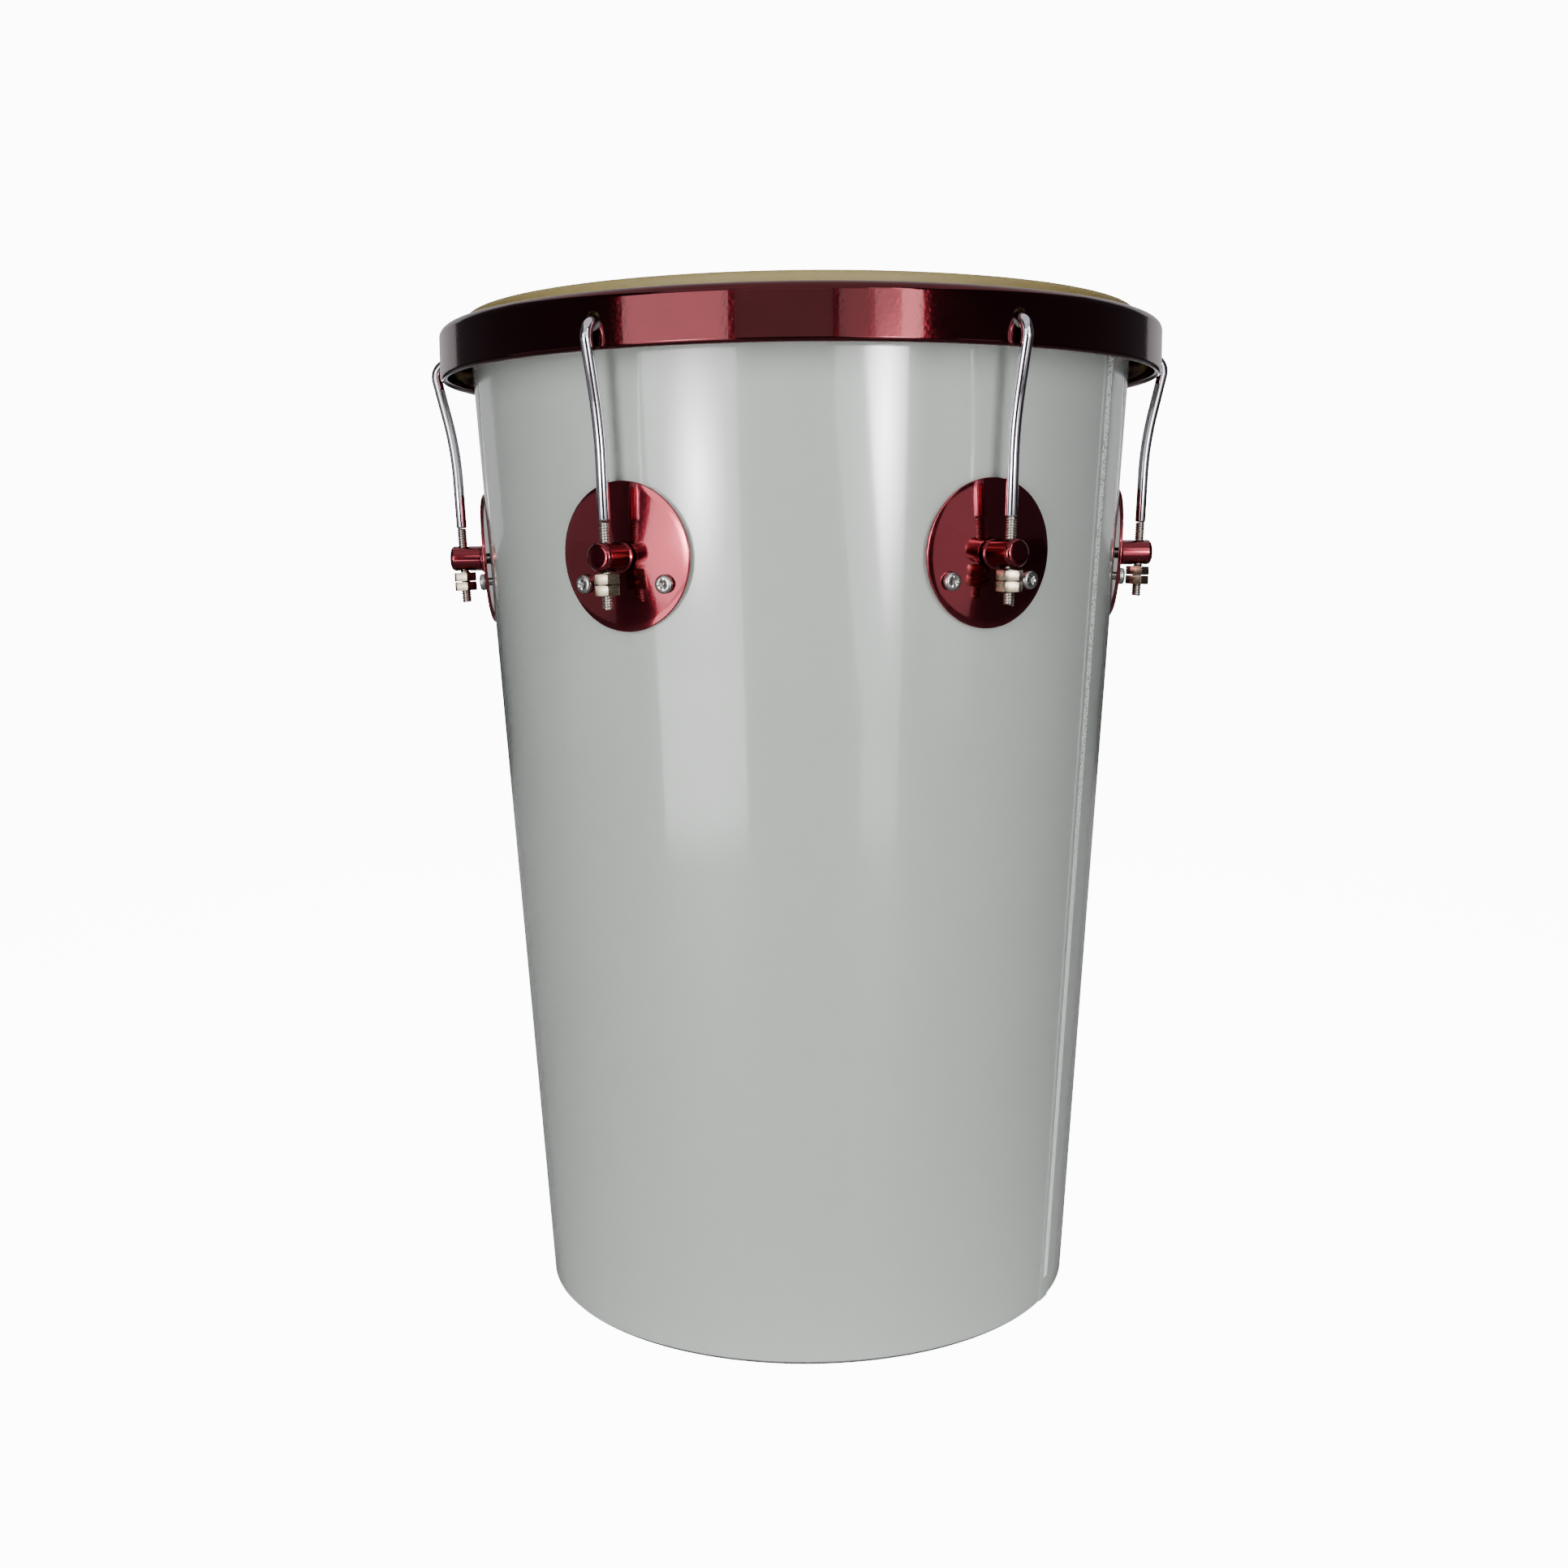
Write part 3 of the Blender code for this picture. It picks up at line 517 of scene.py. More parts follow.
def to_object(name, bm, material, matrix=None):
    """Turn a bmesh into an object at the origin, smooth-shaded with crisp edges left crisp."""
    if matrix is not None:
        bmesh.ops.transform(bm, matrix=matrix, verts=bm.verts)
    mesh = bpy.data.meshes.new(name)
    bm.to_mesh(mesh)
    bm.free()
    mesh.shade_smooth()
    mesh.set_sharp_from_angle(angle=math.radians(32.0))
    mesh.materials.append(material)
    thing = bpy.data.objects.new(name, mesh)
    bpy.context.scene.collection.objects.link(thing)
    return thing


def copy_at(name, source, matrix):
    """A copy of a finished mesh, with its new place in its mesh."""
    mesh = source.copy()
    mesh.name = name
    mesh.transform(matrix)
    thing = bpy.data.objects.new(name, mesh)
    bpy.context.scene.collection.objects.link(thing)
    return thing


def cut(thing, tool):
    """Cut a tool body out of a piece, weld what the cut left doubled, then throw the tool away."""
    boolean = thing.modifiers.new("Cut", "BOOLEAN")
    boolean.operation = "DIFFERENCE"
    boolean.solver = "EXACT"
    boolean.object = tool
    bpy.context.view_layer.update()
    evaluated = thing.evaluated_get(bpy.context.evaluated_depsgraph_get())
    mesh = bpy.data.meshes.new_from_object(evaluated)
    bm = bmesh.new()
    bm.from_mesh(mesh)
    bmesh.ops.remove_doubles(bm, verts=bm.verts, dist=SAME_PLACE * 2)
    bm.to_mesh(mesh)
    bm.free()
    thing.modifiers.clear()
    thing.data = mesh
    bpy.data.objects.remove(tool, do_unlink=True)


def shade_round(thing, radii):
    """Shade the faces on upright cylinders round Z as truly round, also beside holes."""
    mesh = thing.data
    normals = [Vector(corner.vector) for corner in mesh.corner_normals]
    for face in mesh.polygons:
        corners = [mesh.vertices[index].co for index in face.vertices]
        reach = [math.hypot(corner.x, corner.y) for corner in corners]
        if any(max(reach) < radius + 2e-5 and min(reach) > radius - 6e-5 for radius in radii):
            for loop, corner in zip(face.loop_indices, corners):
                outward = Vector((corner.x, corner.y, 0.0)).normalized()
                normals[loop] = outward if outward.dot(face.normal) > 0.0 else -outward
    mesh.normals_split_custom_set(normals)


def settle(thing, node, body):
    """Let a piece stand for its node and ride on its body."""
    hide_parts(node)
    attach(thing, body)


def station_angle(index):
    """Angle about Z, from +X, of a tuning station."""
    return math.radians(FRONT_ANGLE) + settings().station.first_azimuth + index * math.tau / STATIONS


def station_turn(index):
    """Turn from a station's own frame, X outwards, into the drum's."""
    return Matrix.Rotation(station_angle(index), 4, "Z")


def lug_height():
    """Height of the lugs' middle."""
    low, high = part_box("lug_barrel_1")
    return (low.z + high.z) / 2.0


def rod_matrix():
    """Place of the rod's straight end in its station's frame: Z up the rod, origin in the post."""
    place = Vector(joint("tuning_nut_1_turn")["pos_m"])
    lean = settings().station.rod_lean
    rise = lug_height() - place.z
    radius = math.hypot(place.x, place.y) + rise * math.tan(lean)
    return Matrix.Translation((radius, 0.0, lug_height())) @ Matrix.Rotation(lean, 4, "Y")


def shell_radius(height):
    """Outer radius of the bare shell at a height."""
    shell = settings().shell
    top = node_radius("shell_tube")
    return shell.foot_radius + (top - shell.foot_radius) * height / node_top("shell_tube")


def laminate_radius(height):
    """Outer radius of the laminate at a height."""
    shell = settings().shell
    gap = 0.0003
    return shell_radius(height) + gap + shell.laminate


class DRUM_OT_shell(bpy.types.Operator):
    """Model the aluminium cone with its folded edges"""

    bl_idname = "drum.shell"
    bl_label = "Shell"

    def execute(self, context):
        shell = settings().shell
        half = shell.wall / 2.0
        low, high = half, node_top("shell_tube") - half
        corners = [
            (shell_radius(low) - shell.fold, low),
            (shell_radius(low) - half, low),
            (shell_radius(high) - half, high),
            (shell_radius(high) - shell.fold, high),
        ]
        edge = (shell.edge_radius - half, 6)
        outline = sheet_wall(rounded(corners, [edge, edge]), shell.wall)
        bm = spun(outline, settings().stage.turned_steps, True)
        aluminium = finish_material("rolled_aluminium", lambda: metal_material(
            "rolled_aluminium", settings().finish.aluminium, 0.30, 0.48, 30.0, 0.1))
        settle(to_object("drum_shell", bm, aluminium), "shell_tube", "shell")
        return {"FINISHED"}


class DRUM_OT_laminate(bpy.types.Operator):
    """Wrap the laminate round the shell, with its lapped seam"""

    bl_idname = "drum.laminate"
    bl_label = "Laminate"

    def execute(self, context):
        shell = settings().shell
        steps = settings().stage.turned_steps
        low, high = node_bottom("shell_wrap"), node_top("shell_wrap")
        outer_low, outer_high = laminate_radius(low), laminate_radius(high)
        outline = [
            (outer_low, low), (outer_high, high),
            (outer_high - shell.laminate, high), (outer_low - shell.laminate, low),
        ]
        laminate = finish_material("pale_laminate", laminate_material)
        wrap = to_object("laminate", spun(outline, steps, True), laminate)
        settle(wrap, "shell_wrap", "shell")
        middle = math.radians(FRONT_ANGLE) + shell.lap_azimuth
        pieces = [
            ("laminate_lap", shell.lap_width, 0.0, laminate),
            ("laminate_seam", shell.seam_width, 0.0, finish_material("seam_with_painted_glints", painted_glint_seam_material)),
        ]
        for name, width, shift, material in pieces:
            lap = name == "laminate_lap"
            layer = shell.laminate * (1.0 if lap else 1.3)
            foot = low if lap else low + 0.008
            taper = foot if lap else foot + 0.003
            outline = [
                (laminate_radius(foot), foot), (laminate_radius(taper) + layer, taper),
                (outer_high + layer, high), (outer_high, high),
            ]
            middle_radius = laminate_radius((low + high) / 2.0)
            start = middle + (shift - width / 2.0) / middle_radius
            bm = spun(outline, 6, True, width / middle_radius, start)
            strip = to_object(name, bm, material)
            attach(strip, "shell")
        return {"FINISHED"}


class DRUM_OT_skin(bpy.types.Operator):
    """Stretch the skin over the bearing edge and lap it on its ring"""

    bl_idname = "drum.skin"
    bl_label = "Skin"

    def execute(self, context):
        head = settings().head
        half = head.skin / 2.0
        top = node_top("head_skin")
        outer = node_radius("head_skin")
        bottom = node_bottom("head_skin")
        collar_foot = node_inner_radius("flesh_hoop") - 0.0003
        collar_top = collar_foot - 0.0004
        lap_top = node_top("flesh_hoop") + 0.0003 + head.skin
        corners = [
            (0.0, top - half),
            (collar_top + half, top - half),
            (collar_foot + half, lap_top - half),
            (outer - half, lap_top - half),
            (outer - half, bottom + half),
            (outer - half - head.tuck, bottom + half),
        ]
        soft = (0.0008, 3)
        outline = sheet_wall(rounded(corners, [(head.bearing_radius, 8), soft, soft, soft]), head.skin)
        outline[0].x = outline[-1].x = 0.0
        bm = spun(outline, settings().stage.turned_steps, False)
        skin = to_object("skin", bm, finish_material("natural_hide", skin_material))
        settle(skin, "head_skin", "head")
        return {"FINISHED"}


class DRUM_OT_flesh_hoop(bpy.types.Operator):
    """Turn the metal ring that the skin is lapped on"""

    bl_idname = "drum.flesh_hoop"
    bl_label = "Flesh hoop"

    def execute(self, context):
        inner, outer = node_inner_radius("flesh_hoop"), node_radius("flesh_hoop")
        low, high = node_bottom("flesh_hoop"), node_top("flesh_hoop")
        outline = [(inner, low), (outer, low), (outer, high), (inner, high)]
        bm = spun(outline, settings().stage.turned_steps, True)
        bevel_sharp(bm, 60.0, 0.0008, 3)
        steel = finish_material("ring_steel", lambda: metal_material(
            "ring_steel", settings().finish.zinc, 0.28, 0.45, 60.0, 0.1))
        settle(to_object("skin_ring", bm, steel), "flesh_hoop", "head")
        return {"FINISHED"}


class DRUM_OT_tension_hoop(bpy.types.Operator):
    """Fold the tension hoop and punch its hook holes"""

    bl_idname = "drum.tension_hoop"
    bl_label = "Tension hoop"

    def execute(self, context):
        head = settings().head
        half = head.sheet / 2.0
        skirt = node_radius("tension_hoop") - half
        mouth = node_inner_radius("tension_hoop")
        low, high = node_bottom("tension_hoop"), node_top("tension_hoop")
        fold = head.hem_slot + head.sheet
        corners = [
            (mouth, high - half),
            (skirt, high - half),
            (skirt, low + half),
            (skirt - fold, low + half),
            (skirt - fold, low + head.hem),
        ]
        turn = (fold / 2.0, 5)
        outline = sheet_wall(rounded(corners, [(head.shoulder - half, 10), turn, turn]), head.sheet)
        bm = spun(outline, settings().stage.turned_steps, True)
        red = shaded_hoop_candy()
        hoop = to_object("tension_hoop_folded", bm, red)
        tool = bmesh.new()
        oval = Matrix.Diagonal((head.hole_height / 2.0, head.hole_width / 2.0, 1.0, 1.0))
        for index in range(STATIONS):
            place = Matrix.Translation((skirt, 0.0, high - head.hole_drop)) @ Matrix.Rotation(math.pi / 2, 4, "Y")
            bmesh.ops.create_cone(
                tool, cap_ends=True, segments=40, radius1=1.0, radius2=1.0, depth=0.006,
                matrix=station_turn(index) @ place @ oval,
            )
        cut(hoop, to_object("hole_tool", tool, red))
        shade_round(hoop, (skirt + half, skirt - half))
        settle(hoop, "tension_hoop", "head")
        return {"FINISHED"}


def plate_surface():
    """A function that puts a flat point on a dished and bent plate, in a station's frame."""
    station = settings().station
    middle = lug_height()
    seat = laminate_radius(middle) + 0.0003
    slope = (laminate_radius(middle + 0.1) - laminate_radius(middle)) / 0.1
    size, dish, bend = station.plate_radius, station.plate_dish, station.plate_bend

    def place(across, up, layer):
        rise = up * slope + dish * (1.0 - math.hypot(across, up) / size) + layer
        return (
            Matrix.Translation((seat - bend, 0.0, middle + up)) @ Matrix.Rotation(across / bend, 4, "Z")
            @ Matrix.Translation((bend + rise, 0.0, 0.0))
        )

    return place


class DRUM_OT_lug_plates(bpy.types.Operator):
    """Dish the round lug plates and bend them towards the shell"""

    bl_idname = "drum.lug_plates"
    bl_label = "Lug plates"

    def execute(self, context):
        station = settings().station
        rings = 10
        reach = [station.plate_radius * step / rings for step in range(rings)]
        rim = rounded(
            [
                (reach[-1], 0.0), (station.plate_radius, 0.0),
                (station.plate_radius, station.plate_sheet), (reach[-1], station.plate_sheet),
            ],
            [(0.0003, 2), (0.0004, 4)],
        )
        lower = [Vector((radius, 0.0)) for radius in reach[:-1]]
        upper = [Vector((radius, station.plate_sheet)) for radius in reversed(reach[:-1])]
        bm = spun(lower + rim + upper, 96, False)
        place = plate_surface()
        for vert in bm.verts:
            vert.co = place(*vert.co).translation
        red = red_candy()
        first = to_object("plate_pattern", bm, red)
        for index in range(STATIONS):
            label = str(index + 1)
            plate = copy_at("dished_plate_" + label, first.data, station_turn(index))
            settle(plate, "lug_plate_" + label, "shell")
        bpy.data.objects.remove(first, do_unlink=True)
        return {"FINISHED"}


def barrel_start():
    """Distance of the posts' foot from the drum's axis."""
    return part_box("lug_barrel_3")[0].x


def barrel_end():
    """Distance of the posts' nose from the drum's axis."""
    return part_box("lug_barrel_3")[1].x


class DRUM_OT_lug_barrels(bpy.types.Operator):
    """Turn the lug posts and drill them for the rods"""

    bl_idname = "drum.lug_barrels"
    bl_label = "Lug posts"

    def execute(self, context):
        station = settings().station
        long = barrel_end() - barrel_start()
        foot = station.barrel_radius + 0.0006
        corners = [
            (0.0, 0.0), (foot, 0.0), (foot, 0.0009), (station.barrel_radius, 0.0015),
            (station.barrel_radius, long), (0.0, long),
        ]
        outline = rounded(corners, [None, (0.0003, 3), None, (0.0021, 10)])
        bm = spun(outline, 64, False)
        place = Matrix.Translation((barrel_start(), 0.0, lug_height())) @ Matrix.Rotation(math.pi / 2, 4, "Y")
        red = shaded_post_candy()
        first = to_object("barrel_pattern", bm, red, place)
        drill = bmesh.new()
        bmesh.ops.create_cone(
            drill, cap_ends=True, segments=40, radius1=station.rod_radius + 0.0004,
            radius2=station.rod_radius + 0.0004, depth=station.barrel_radius * 3.0, matrix=rod_matrix(),
        )
        cut(first, to_object("drill_tool", drill, red))
        for index in range(STATIONS):
            label = str(index + 1)
            post = copy_at("turned_post_" + label, first.data, station_turn(index))
            settle(post, "lug_barrel_" + label, "shell")
        bpy.data.objects.remove(first, do_unlink=True)
        return {"FINISHED"}


def hexagon_prism(width, low, high):
    """A plain hexagonal prism."""
    bm = bmesh.new()
    radius = width / 2.0 / math.cos(math.pi / 6)
    bmesh.ops.create_cone(
        bm, cap_ends=True, segments=6, radius1=radius, radius2=radius, depth=high - low,
        matrix=Matrix.Translation((0.0, 0.0, (low + high) / 2.0)),
    )
    return bm


def turned_cutter(outline):
    """A ring that trims a hexagon's corners."""
    return to_object("trim_tool", spun(outline, 64, True), red_candy())


class DRUM_OT_barrel_bolts(bpy.types.Operator):
    """Model the flanged bolts inside the shell"""

    bl_idname = "drum.barrel_bolts"
    bl_label = "Post bolts"

    def execute(self, context):
        low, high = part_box("barrel_bolt_3")
        seat = low.x + 0.0045
        zinc = finish_material("bright_zinc", lambda: metal_material(
            "bright_zinc", settings().finish.zinc, 0.2, 0.36, 90.0, 0.08))
        bm = hexagon_prism(0.0080, -0.0045, -0.0008)
        bevel_sharp(bm, 40.0, 0.0003, 2)
        flange = [(0.0, -0.0010), (0.0050, -0.0010), (0.0058, -0.0005), (0.0058, 0.0), (0.0025, 0.0),
                  (0.0025, high.x - seat), (0.0, high.x - seat)]
        collar = spun([Vector(point) for point in flange], 48, False)
        spare = bpy.data.meshes.new("collar")
        collar.to_mesh(spare)
        collar.free()
        bm.from_mesh(spare)
        bpy.data.meshes.remove(spare)
        place = Matrix.Translation((seat, 0.0, lug_height())) @ Matrix.Rotation(math.pi / 2, 4, "Y")
        first = to_object("bolt_pattern", bm, zinc, place)
        for index in range(STATIONS):
            label = str(index + 1)
            bolt = copy_at("flanged_bolt_" + label, first.data, station_turn(index))
            settle(bolt, "barrel_bolt_" + label, "shell")
        bpy.data.objects.remove(first, do_unlink=True)
        return {"FINISHED"}


def nut_bmesh():
    """A hexagonal nut with turned corners and a clear bore; Z is its axis, its middle the origin."""
    station = settings().station
    half = station.nut_height / 2.0
    bm = hexagon_prism(station.nut_width, -half, half)
    nut = to_object("nut_blank", bm, red_candy())
    flat = station.nut_width / 2.0
    corner = flat / math.cos(math.pi / 6)
    for side in (-1.0, 1.0):
        outline = [
            Vector((flat - 0.0002, side * (half + 0.0001))),
            Vector((corner + 0.0004, side * (half - 0.0004))),
            Vector((corner + 0.0004, side * (half + 0.0001))),
        ]
        cut(nut, turned_cutter(outline))
    drill = bmesh.new()
    bore = station.rod_radius + 0.0002
    bmesh.ops.create_cone(drill, cap_ends=True, segments=40, radius1=bore, radius2=bore, depth=0.02)
    cut(nut, to_object("bore_tool", drill, red_candy()))
    bm = bmesh.new()
    bm.from_mesh(nut.data)
    bpy.data.objects.remove(nut, do_unlink=True)
    bmesh.ops.remove_doubles(bm, verts=bm.verts, dist=1e-5)
    bevel_sharp(bm, 50.0, 0.00012, 2)
    return bm


class DRUM_OT_nuts(bpy.types.Operator):
    """Model the tuning nuts and lock nuts"""

    bl_idname = "drum.nuts"
    bl_label = "Nuts"

    def execute(self, context):
        nickel = finish_material("nickel_plate", lambda: metal_material(
            "nickel_plate", settings().finish.nickel, 0.20, 0.34, 120.0, 0.08))
        first = to_object("nut_pattern", nut_bmesh(), nickel)
        lean = Matrix.Rotation(settings().station.rod_lean, 4, "Y")
        for kind in ("tuning_nut_", "lock_nut_"):
            for index in range(STATIONS):
                label = str(index + 1)
                place = Vector(joint(kind + label + "_turn")["pos_m"])
                matrix = (
                    Matrix.Translation(place) @ station_turn(index) @ lean
                    @ Matrix.Rotation(math.radians(NUT_TURNS[index]), 4, "Z")
                )
                nut = copy_at("hex_" + kind + label, first.data, matrix)
                settle(nut, kind + label, kind + label)
        bpy.data.objects.remove(first, do_unlink=True)
        return {"FINISHED"}


def screw_outline():
    """Half outline of a pan-head screw: Z is its axis and its head's underside the origin."""
    radius = settings().station.screw_head_radius
    corners = [(0.0, -0.0100), (0.0018, -0.0070), (0.0018, 0.0), (radius, 0.0), (radius, 0.0022), (0.0, 0.0026)]
    return rounded(corners, [None, None, None, (0.0013, 8)])


class DRUM_OT_plate_screws(bpy.types.Operator):
    """Model the plate screws with their crossed recesses"""

    bl_idname = "drum.plate_screws"
    bl_label = "Plate screws"

    def execute(self, context):
        station = settings().station
        zinc = finish_material("bright_zinc", lambda: metal_material(
            "bright_zinc", settings().finish.zinc, 0.2, 0.36, 90.0, 0.08))
        first = to_object("screw_pattern", spun(screw_outline(), 48, False), zinc)
        for turn in (0.0, math.pi / 2):
            blade = bmesh.new()
            bmesh.ops.create_cone(
                blade, cap_ends=True, segments=4, radius1=0.0008, radius2=0.0026, depth=0.0022,
                matrix=Matrix.Rotation(turn, 4, "Z") @ Matrix.Translation((0.0, 0.0, 0.0021))
                @ Matrix.Diagonal((1.0, 0.32, 1.0, 1.0)) @ Matrix.Rotation(math.pi / 4, 4, "Z"),
            )
            cut(first, to_object("recess_tool", blade, zinc))
        on_plate = plate_surface()
        slope = (shell_radius(0.4) - shell_radius(0.0)) / 0.4
        for name, side, spin in (("left", -1, 0.35), ("right", 1, 0.75)):
            for index in range(STATIONS):
                label = str(index + 1)
                matrix = (
                    station_turn(index)
                    @ on_plate(side * station.screw_spread, -station.screw_drop, station.plate_sheet + 0.0003)
                    @ Matrix.Rotation(math.pi / 2 + math.atan(slope), 4, "Y")
                    @ Matrix.Rotation(spin * (index + 1), 4, "Z")
                )
                screw = copy_at("pan_screw_" + name + "_" + label, first.data, matrix)
                settle(screw, "plate_screw_" + name + "_" + label, "shell")
        bpy.data.objects.remove(first, do_unlink=True)
        return {"FINISHED"}


def rod_path():
    """Centre line of the hook rod above its thread, in its station's frame."""
    lean = settings().station.rod_lean
    station = settings().station
    base = rod_matrix()
    low = base @ Vector((0.0, 0.0, station.thread_top))
    knee = base @ Vector((0.0, 0.0, 0.0500 / math.cos(lean)))
    hoop_low = node_bottom("tension_hoop")
    passing = node_radius("tension_hoop") + 0.0011 + station.rod_radius
    slope = (passing - knee.x) / (hoop_low - knee.z)
    hook_height = node_top("hook_rod_1") - station.rod_radius
    tip = node_radius("head_skin") + 0.0012
    corners = [
        (low.x, low.z), (knee.x, knee.z),
        (knee.x + slope * (hook_height - knee.z), hook_height),
        (tip, hook_height),
    ]
    return rounded(corners, [(0.15, 24), (station.hook_bend, 14)])


def tube(path, radius, sides):
    """A round tube along a path in the XZ plane, with rounded ends."""
    bm = bmesh.new()
    loops = []
    last = len(path) - 1
    for index, point in enumerate(path):
        before = path[max(index - 1, 0)]
        after = path[min(index + 1, last)]
        along = Vector((after.x - before.x, 0.0, after.y - before.y)).normalized()
        across = Vector((0.0, 1.0, 0.0))
        out = across.cross(along)
        ring = []
        for step in range(sides):
            turn = math.tau * step / sides
            offset = (across * math.cos(turn) + out * math.sin(turn)) * radius
            ring.append(bm.verts.new(Vector((point.x, 0.0, point.y)) + offset))
        loops.append([bm.edges.new(pair) for pair in zip(ring, ring[1:] + ring[:1])])
    for lower, upper in zip(loops, loops[1:]):
        bmesh.ops.bridge_loops(bm, edges=lower + upper)
    bmesh.ops.contextual_create(bm, geom=loops[0])
    bmesh.ops.contextual_create(bm, geom=loops[-1])
    bmesh.ops.recalc_face_normals(bm, faces=bm.faces)
    bevel_sharp(bm, 60.0, radius * 0.35, 4)
    return bm


def thread_bmesh():
    """The rod's rolled thread, from its tip to its plain part."""
    station = settings().station
    pitch = station.thread_pitch
    low = node_bottom("hook_rod_3") - lug_height()
    turns = int((station.thread_top - low) / pitch)
    crest, root = station.rod_radius - 0.00005, station.rod_radius - 0.00055
    outline = [(crest, 0.0), (root, 0.42), (root, 0.58), (crest, 1.0)]
    part = bmesh.new()
    verts = [part.verts.new((radius, 0.0, low + level * pitch)) for radius, level in outline]
    edges = [part.edges.new(pair) for pair in zip(verts, verts[1:])]
    steps = 24
    bmesh.ops.spin(
        part, geom=verts + edges, cent=(0.0, 0.0, 0.0), axis=(0.0, 0.0, 1.0),
        dvec=(0.0, 0.0, pitch / steps), angle=math.tau * turns, steps=steps * turns, use_merge=False,
    )
    bmesh.ops.remove_doubles(part, verts=part.verts, dist=SAME_PLACE * 20)
    bmesh.ops.holes_fill(part, edges=part.edges, sides=0)
    bmesh.ops.recalc_face_normals(part, faces=part.faces)
    if part.calc_volume(signed=True) < 0.0:
        bmesh.ops.reverse_faces(part, faces=part.faces)
    bmesh.ops.transform(part, matrix=rod_matrix(), verts=part.verts)
    return part


class DRUM_OT_hook_rods(bpy.types.Operator):
    """Bend the hook rods and roll their threads"""

    bl_idname = "drum.hook_rods"
    bl_label = "Hook rods"

    def execute(self, context):
        chrome = finish_material("bright_chrome", lambda: metal_material(
            "bright_chrome", settings().finish.chrome, 0.04, 0.12, 40.0, 0.05))
        dull = finish_material("dull_thread", lambda: metal_material(
            "dull_thread", settings().finish.thread, 0.22, 0.40, 200.0, 0.1))
        first = to_object("rod_pattern", tube(rod_path(), settings().station.rod_radius, 20), chrome)
        thread = to_object("thread_pattern", thread_bmesh(), dull)
        for index in range(STATIONS):
            label = str(index + 1)
            rod = copy_at("bent_hook_rod_" + label, first.data, station_turn(index))
            settle(rod, "hook_rod_" + label, "hook_" + label)
            end = copy_at("rolled_thread_" + label, thread.data, station_turn(index))
            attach(end, "hook_" + label)
        bpy.data.objects.remove(first, do_unlink=True)
        bpy.data.objects.remove(thread, do_unlink=True)
        return {"FINISHED"}


def floor_material():
    """Plain pale floor that fades into the white surround and shows grey in mirrored faces."""
    material, tree, shader = new_material("pale_floor", (0.86, 0.86, 0.86), 0.6, 0.0)
    output = tree.nodes["Material Output"]
    path = add(tree, "ShaderNodeLightPath")
    tone = add(tree, "ShaderNodeMix", data_type="RGBA")
    tone.inputs["A"].default_value = (0.90, 0.90, 0.90, 1.0)
    tone.inputs["B"].default_value = (0.17, 0.17, 0.17, 1.0)
    wire(tree, path, "Is Glossy Ray", tone, "Factor")
    wire(tree, tone, "Result", shader, "Base Color")
    glow = add(tree, "ShaderNodeEmission", {"Color": (1.0, 1.0, 1.0, 1.0)})
    lift = add(tree, "ShaderNodeMath", {1: 12.0}, operation="MULTIPLY_ADD")
    wire(tree, path, "Is Camera Ray", lift, 0)
    wire(tree, lift, 0, glow, "Strength")
    lit = add(tree, "ShaderNodeAddShader")
    wire(tree, shader, "BSDF", lit, 0)
    wire(tree, glow, 0, lit, 1)
    place = add(tree, "ShaderNodeTexCoord")
    reach = add(tree, "ShaderNodeVectorMath", operation="LENGTH")
    wire(tree, place, "Object", reach, 0)
    pool = add(tree, "ShaderNodeMapRange", {"From Min": 0.13, "From Max": 0.34, "To Min": 0.9, "To Max": 0.0})
    wire(tree, reach, "Value", pool, "Value")
    bounce = add(tree, "ShaderNodeMath", operation="MULTIPLY")
    wire(tree, pool, "Result", bounce, 0)
    wire(tree, path, "Is Diffuse Ray", bounce, 1)
    wire(tree, bounce, 0, lift, 2)
    fade = add(tree, "ShaderNodeMapRange", {"From Min": 0.35, "From Max": 1.6}, interpolation_type="SMOOTHSTEP")
    wire(tree, reach, "Value", fade, "Value")
    gone = add(tree, "ShaderNodeMath", operation="MULTIPLY")
    wire(tree, fade, "Result", gone, 0)
    wire(tree, path, "Is Camera Ray", gone, 1)
    clear = add(tree, "ShaderNodeBsdfTransparent")
    mix = add(tree, "ShaderNodeMixShader")
    wire(tree, gone, 0, mix, 0)
    wire(tree, lit, 0, mix, 1)
    wire(tree, clear, 0, mix, 2)
    wire(tree, mix, 0, output, "Surface")
    return material


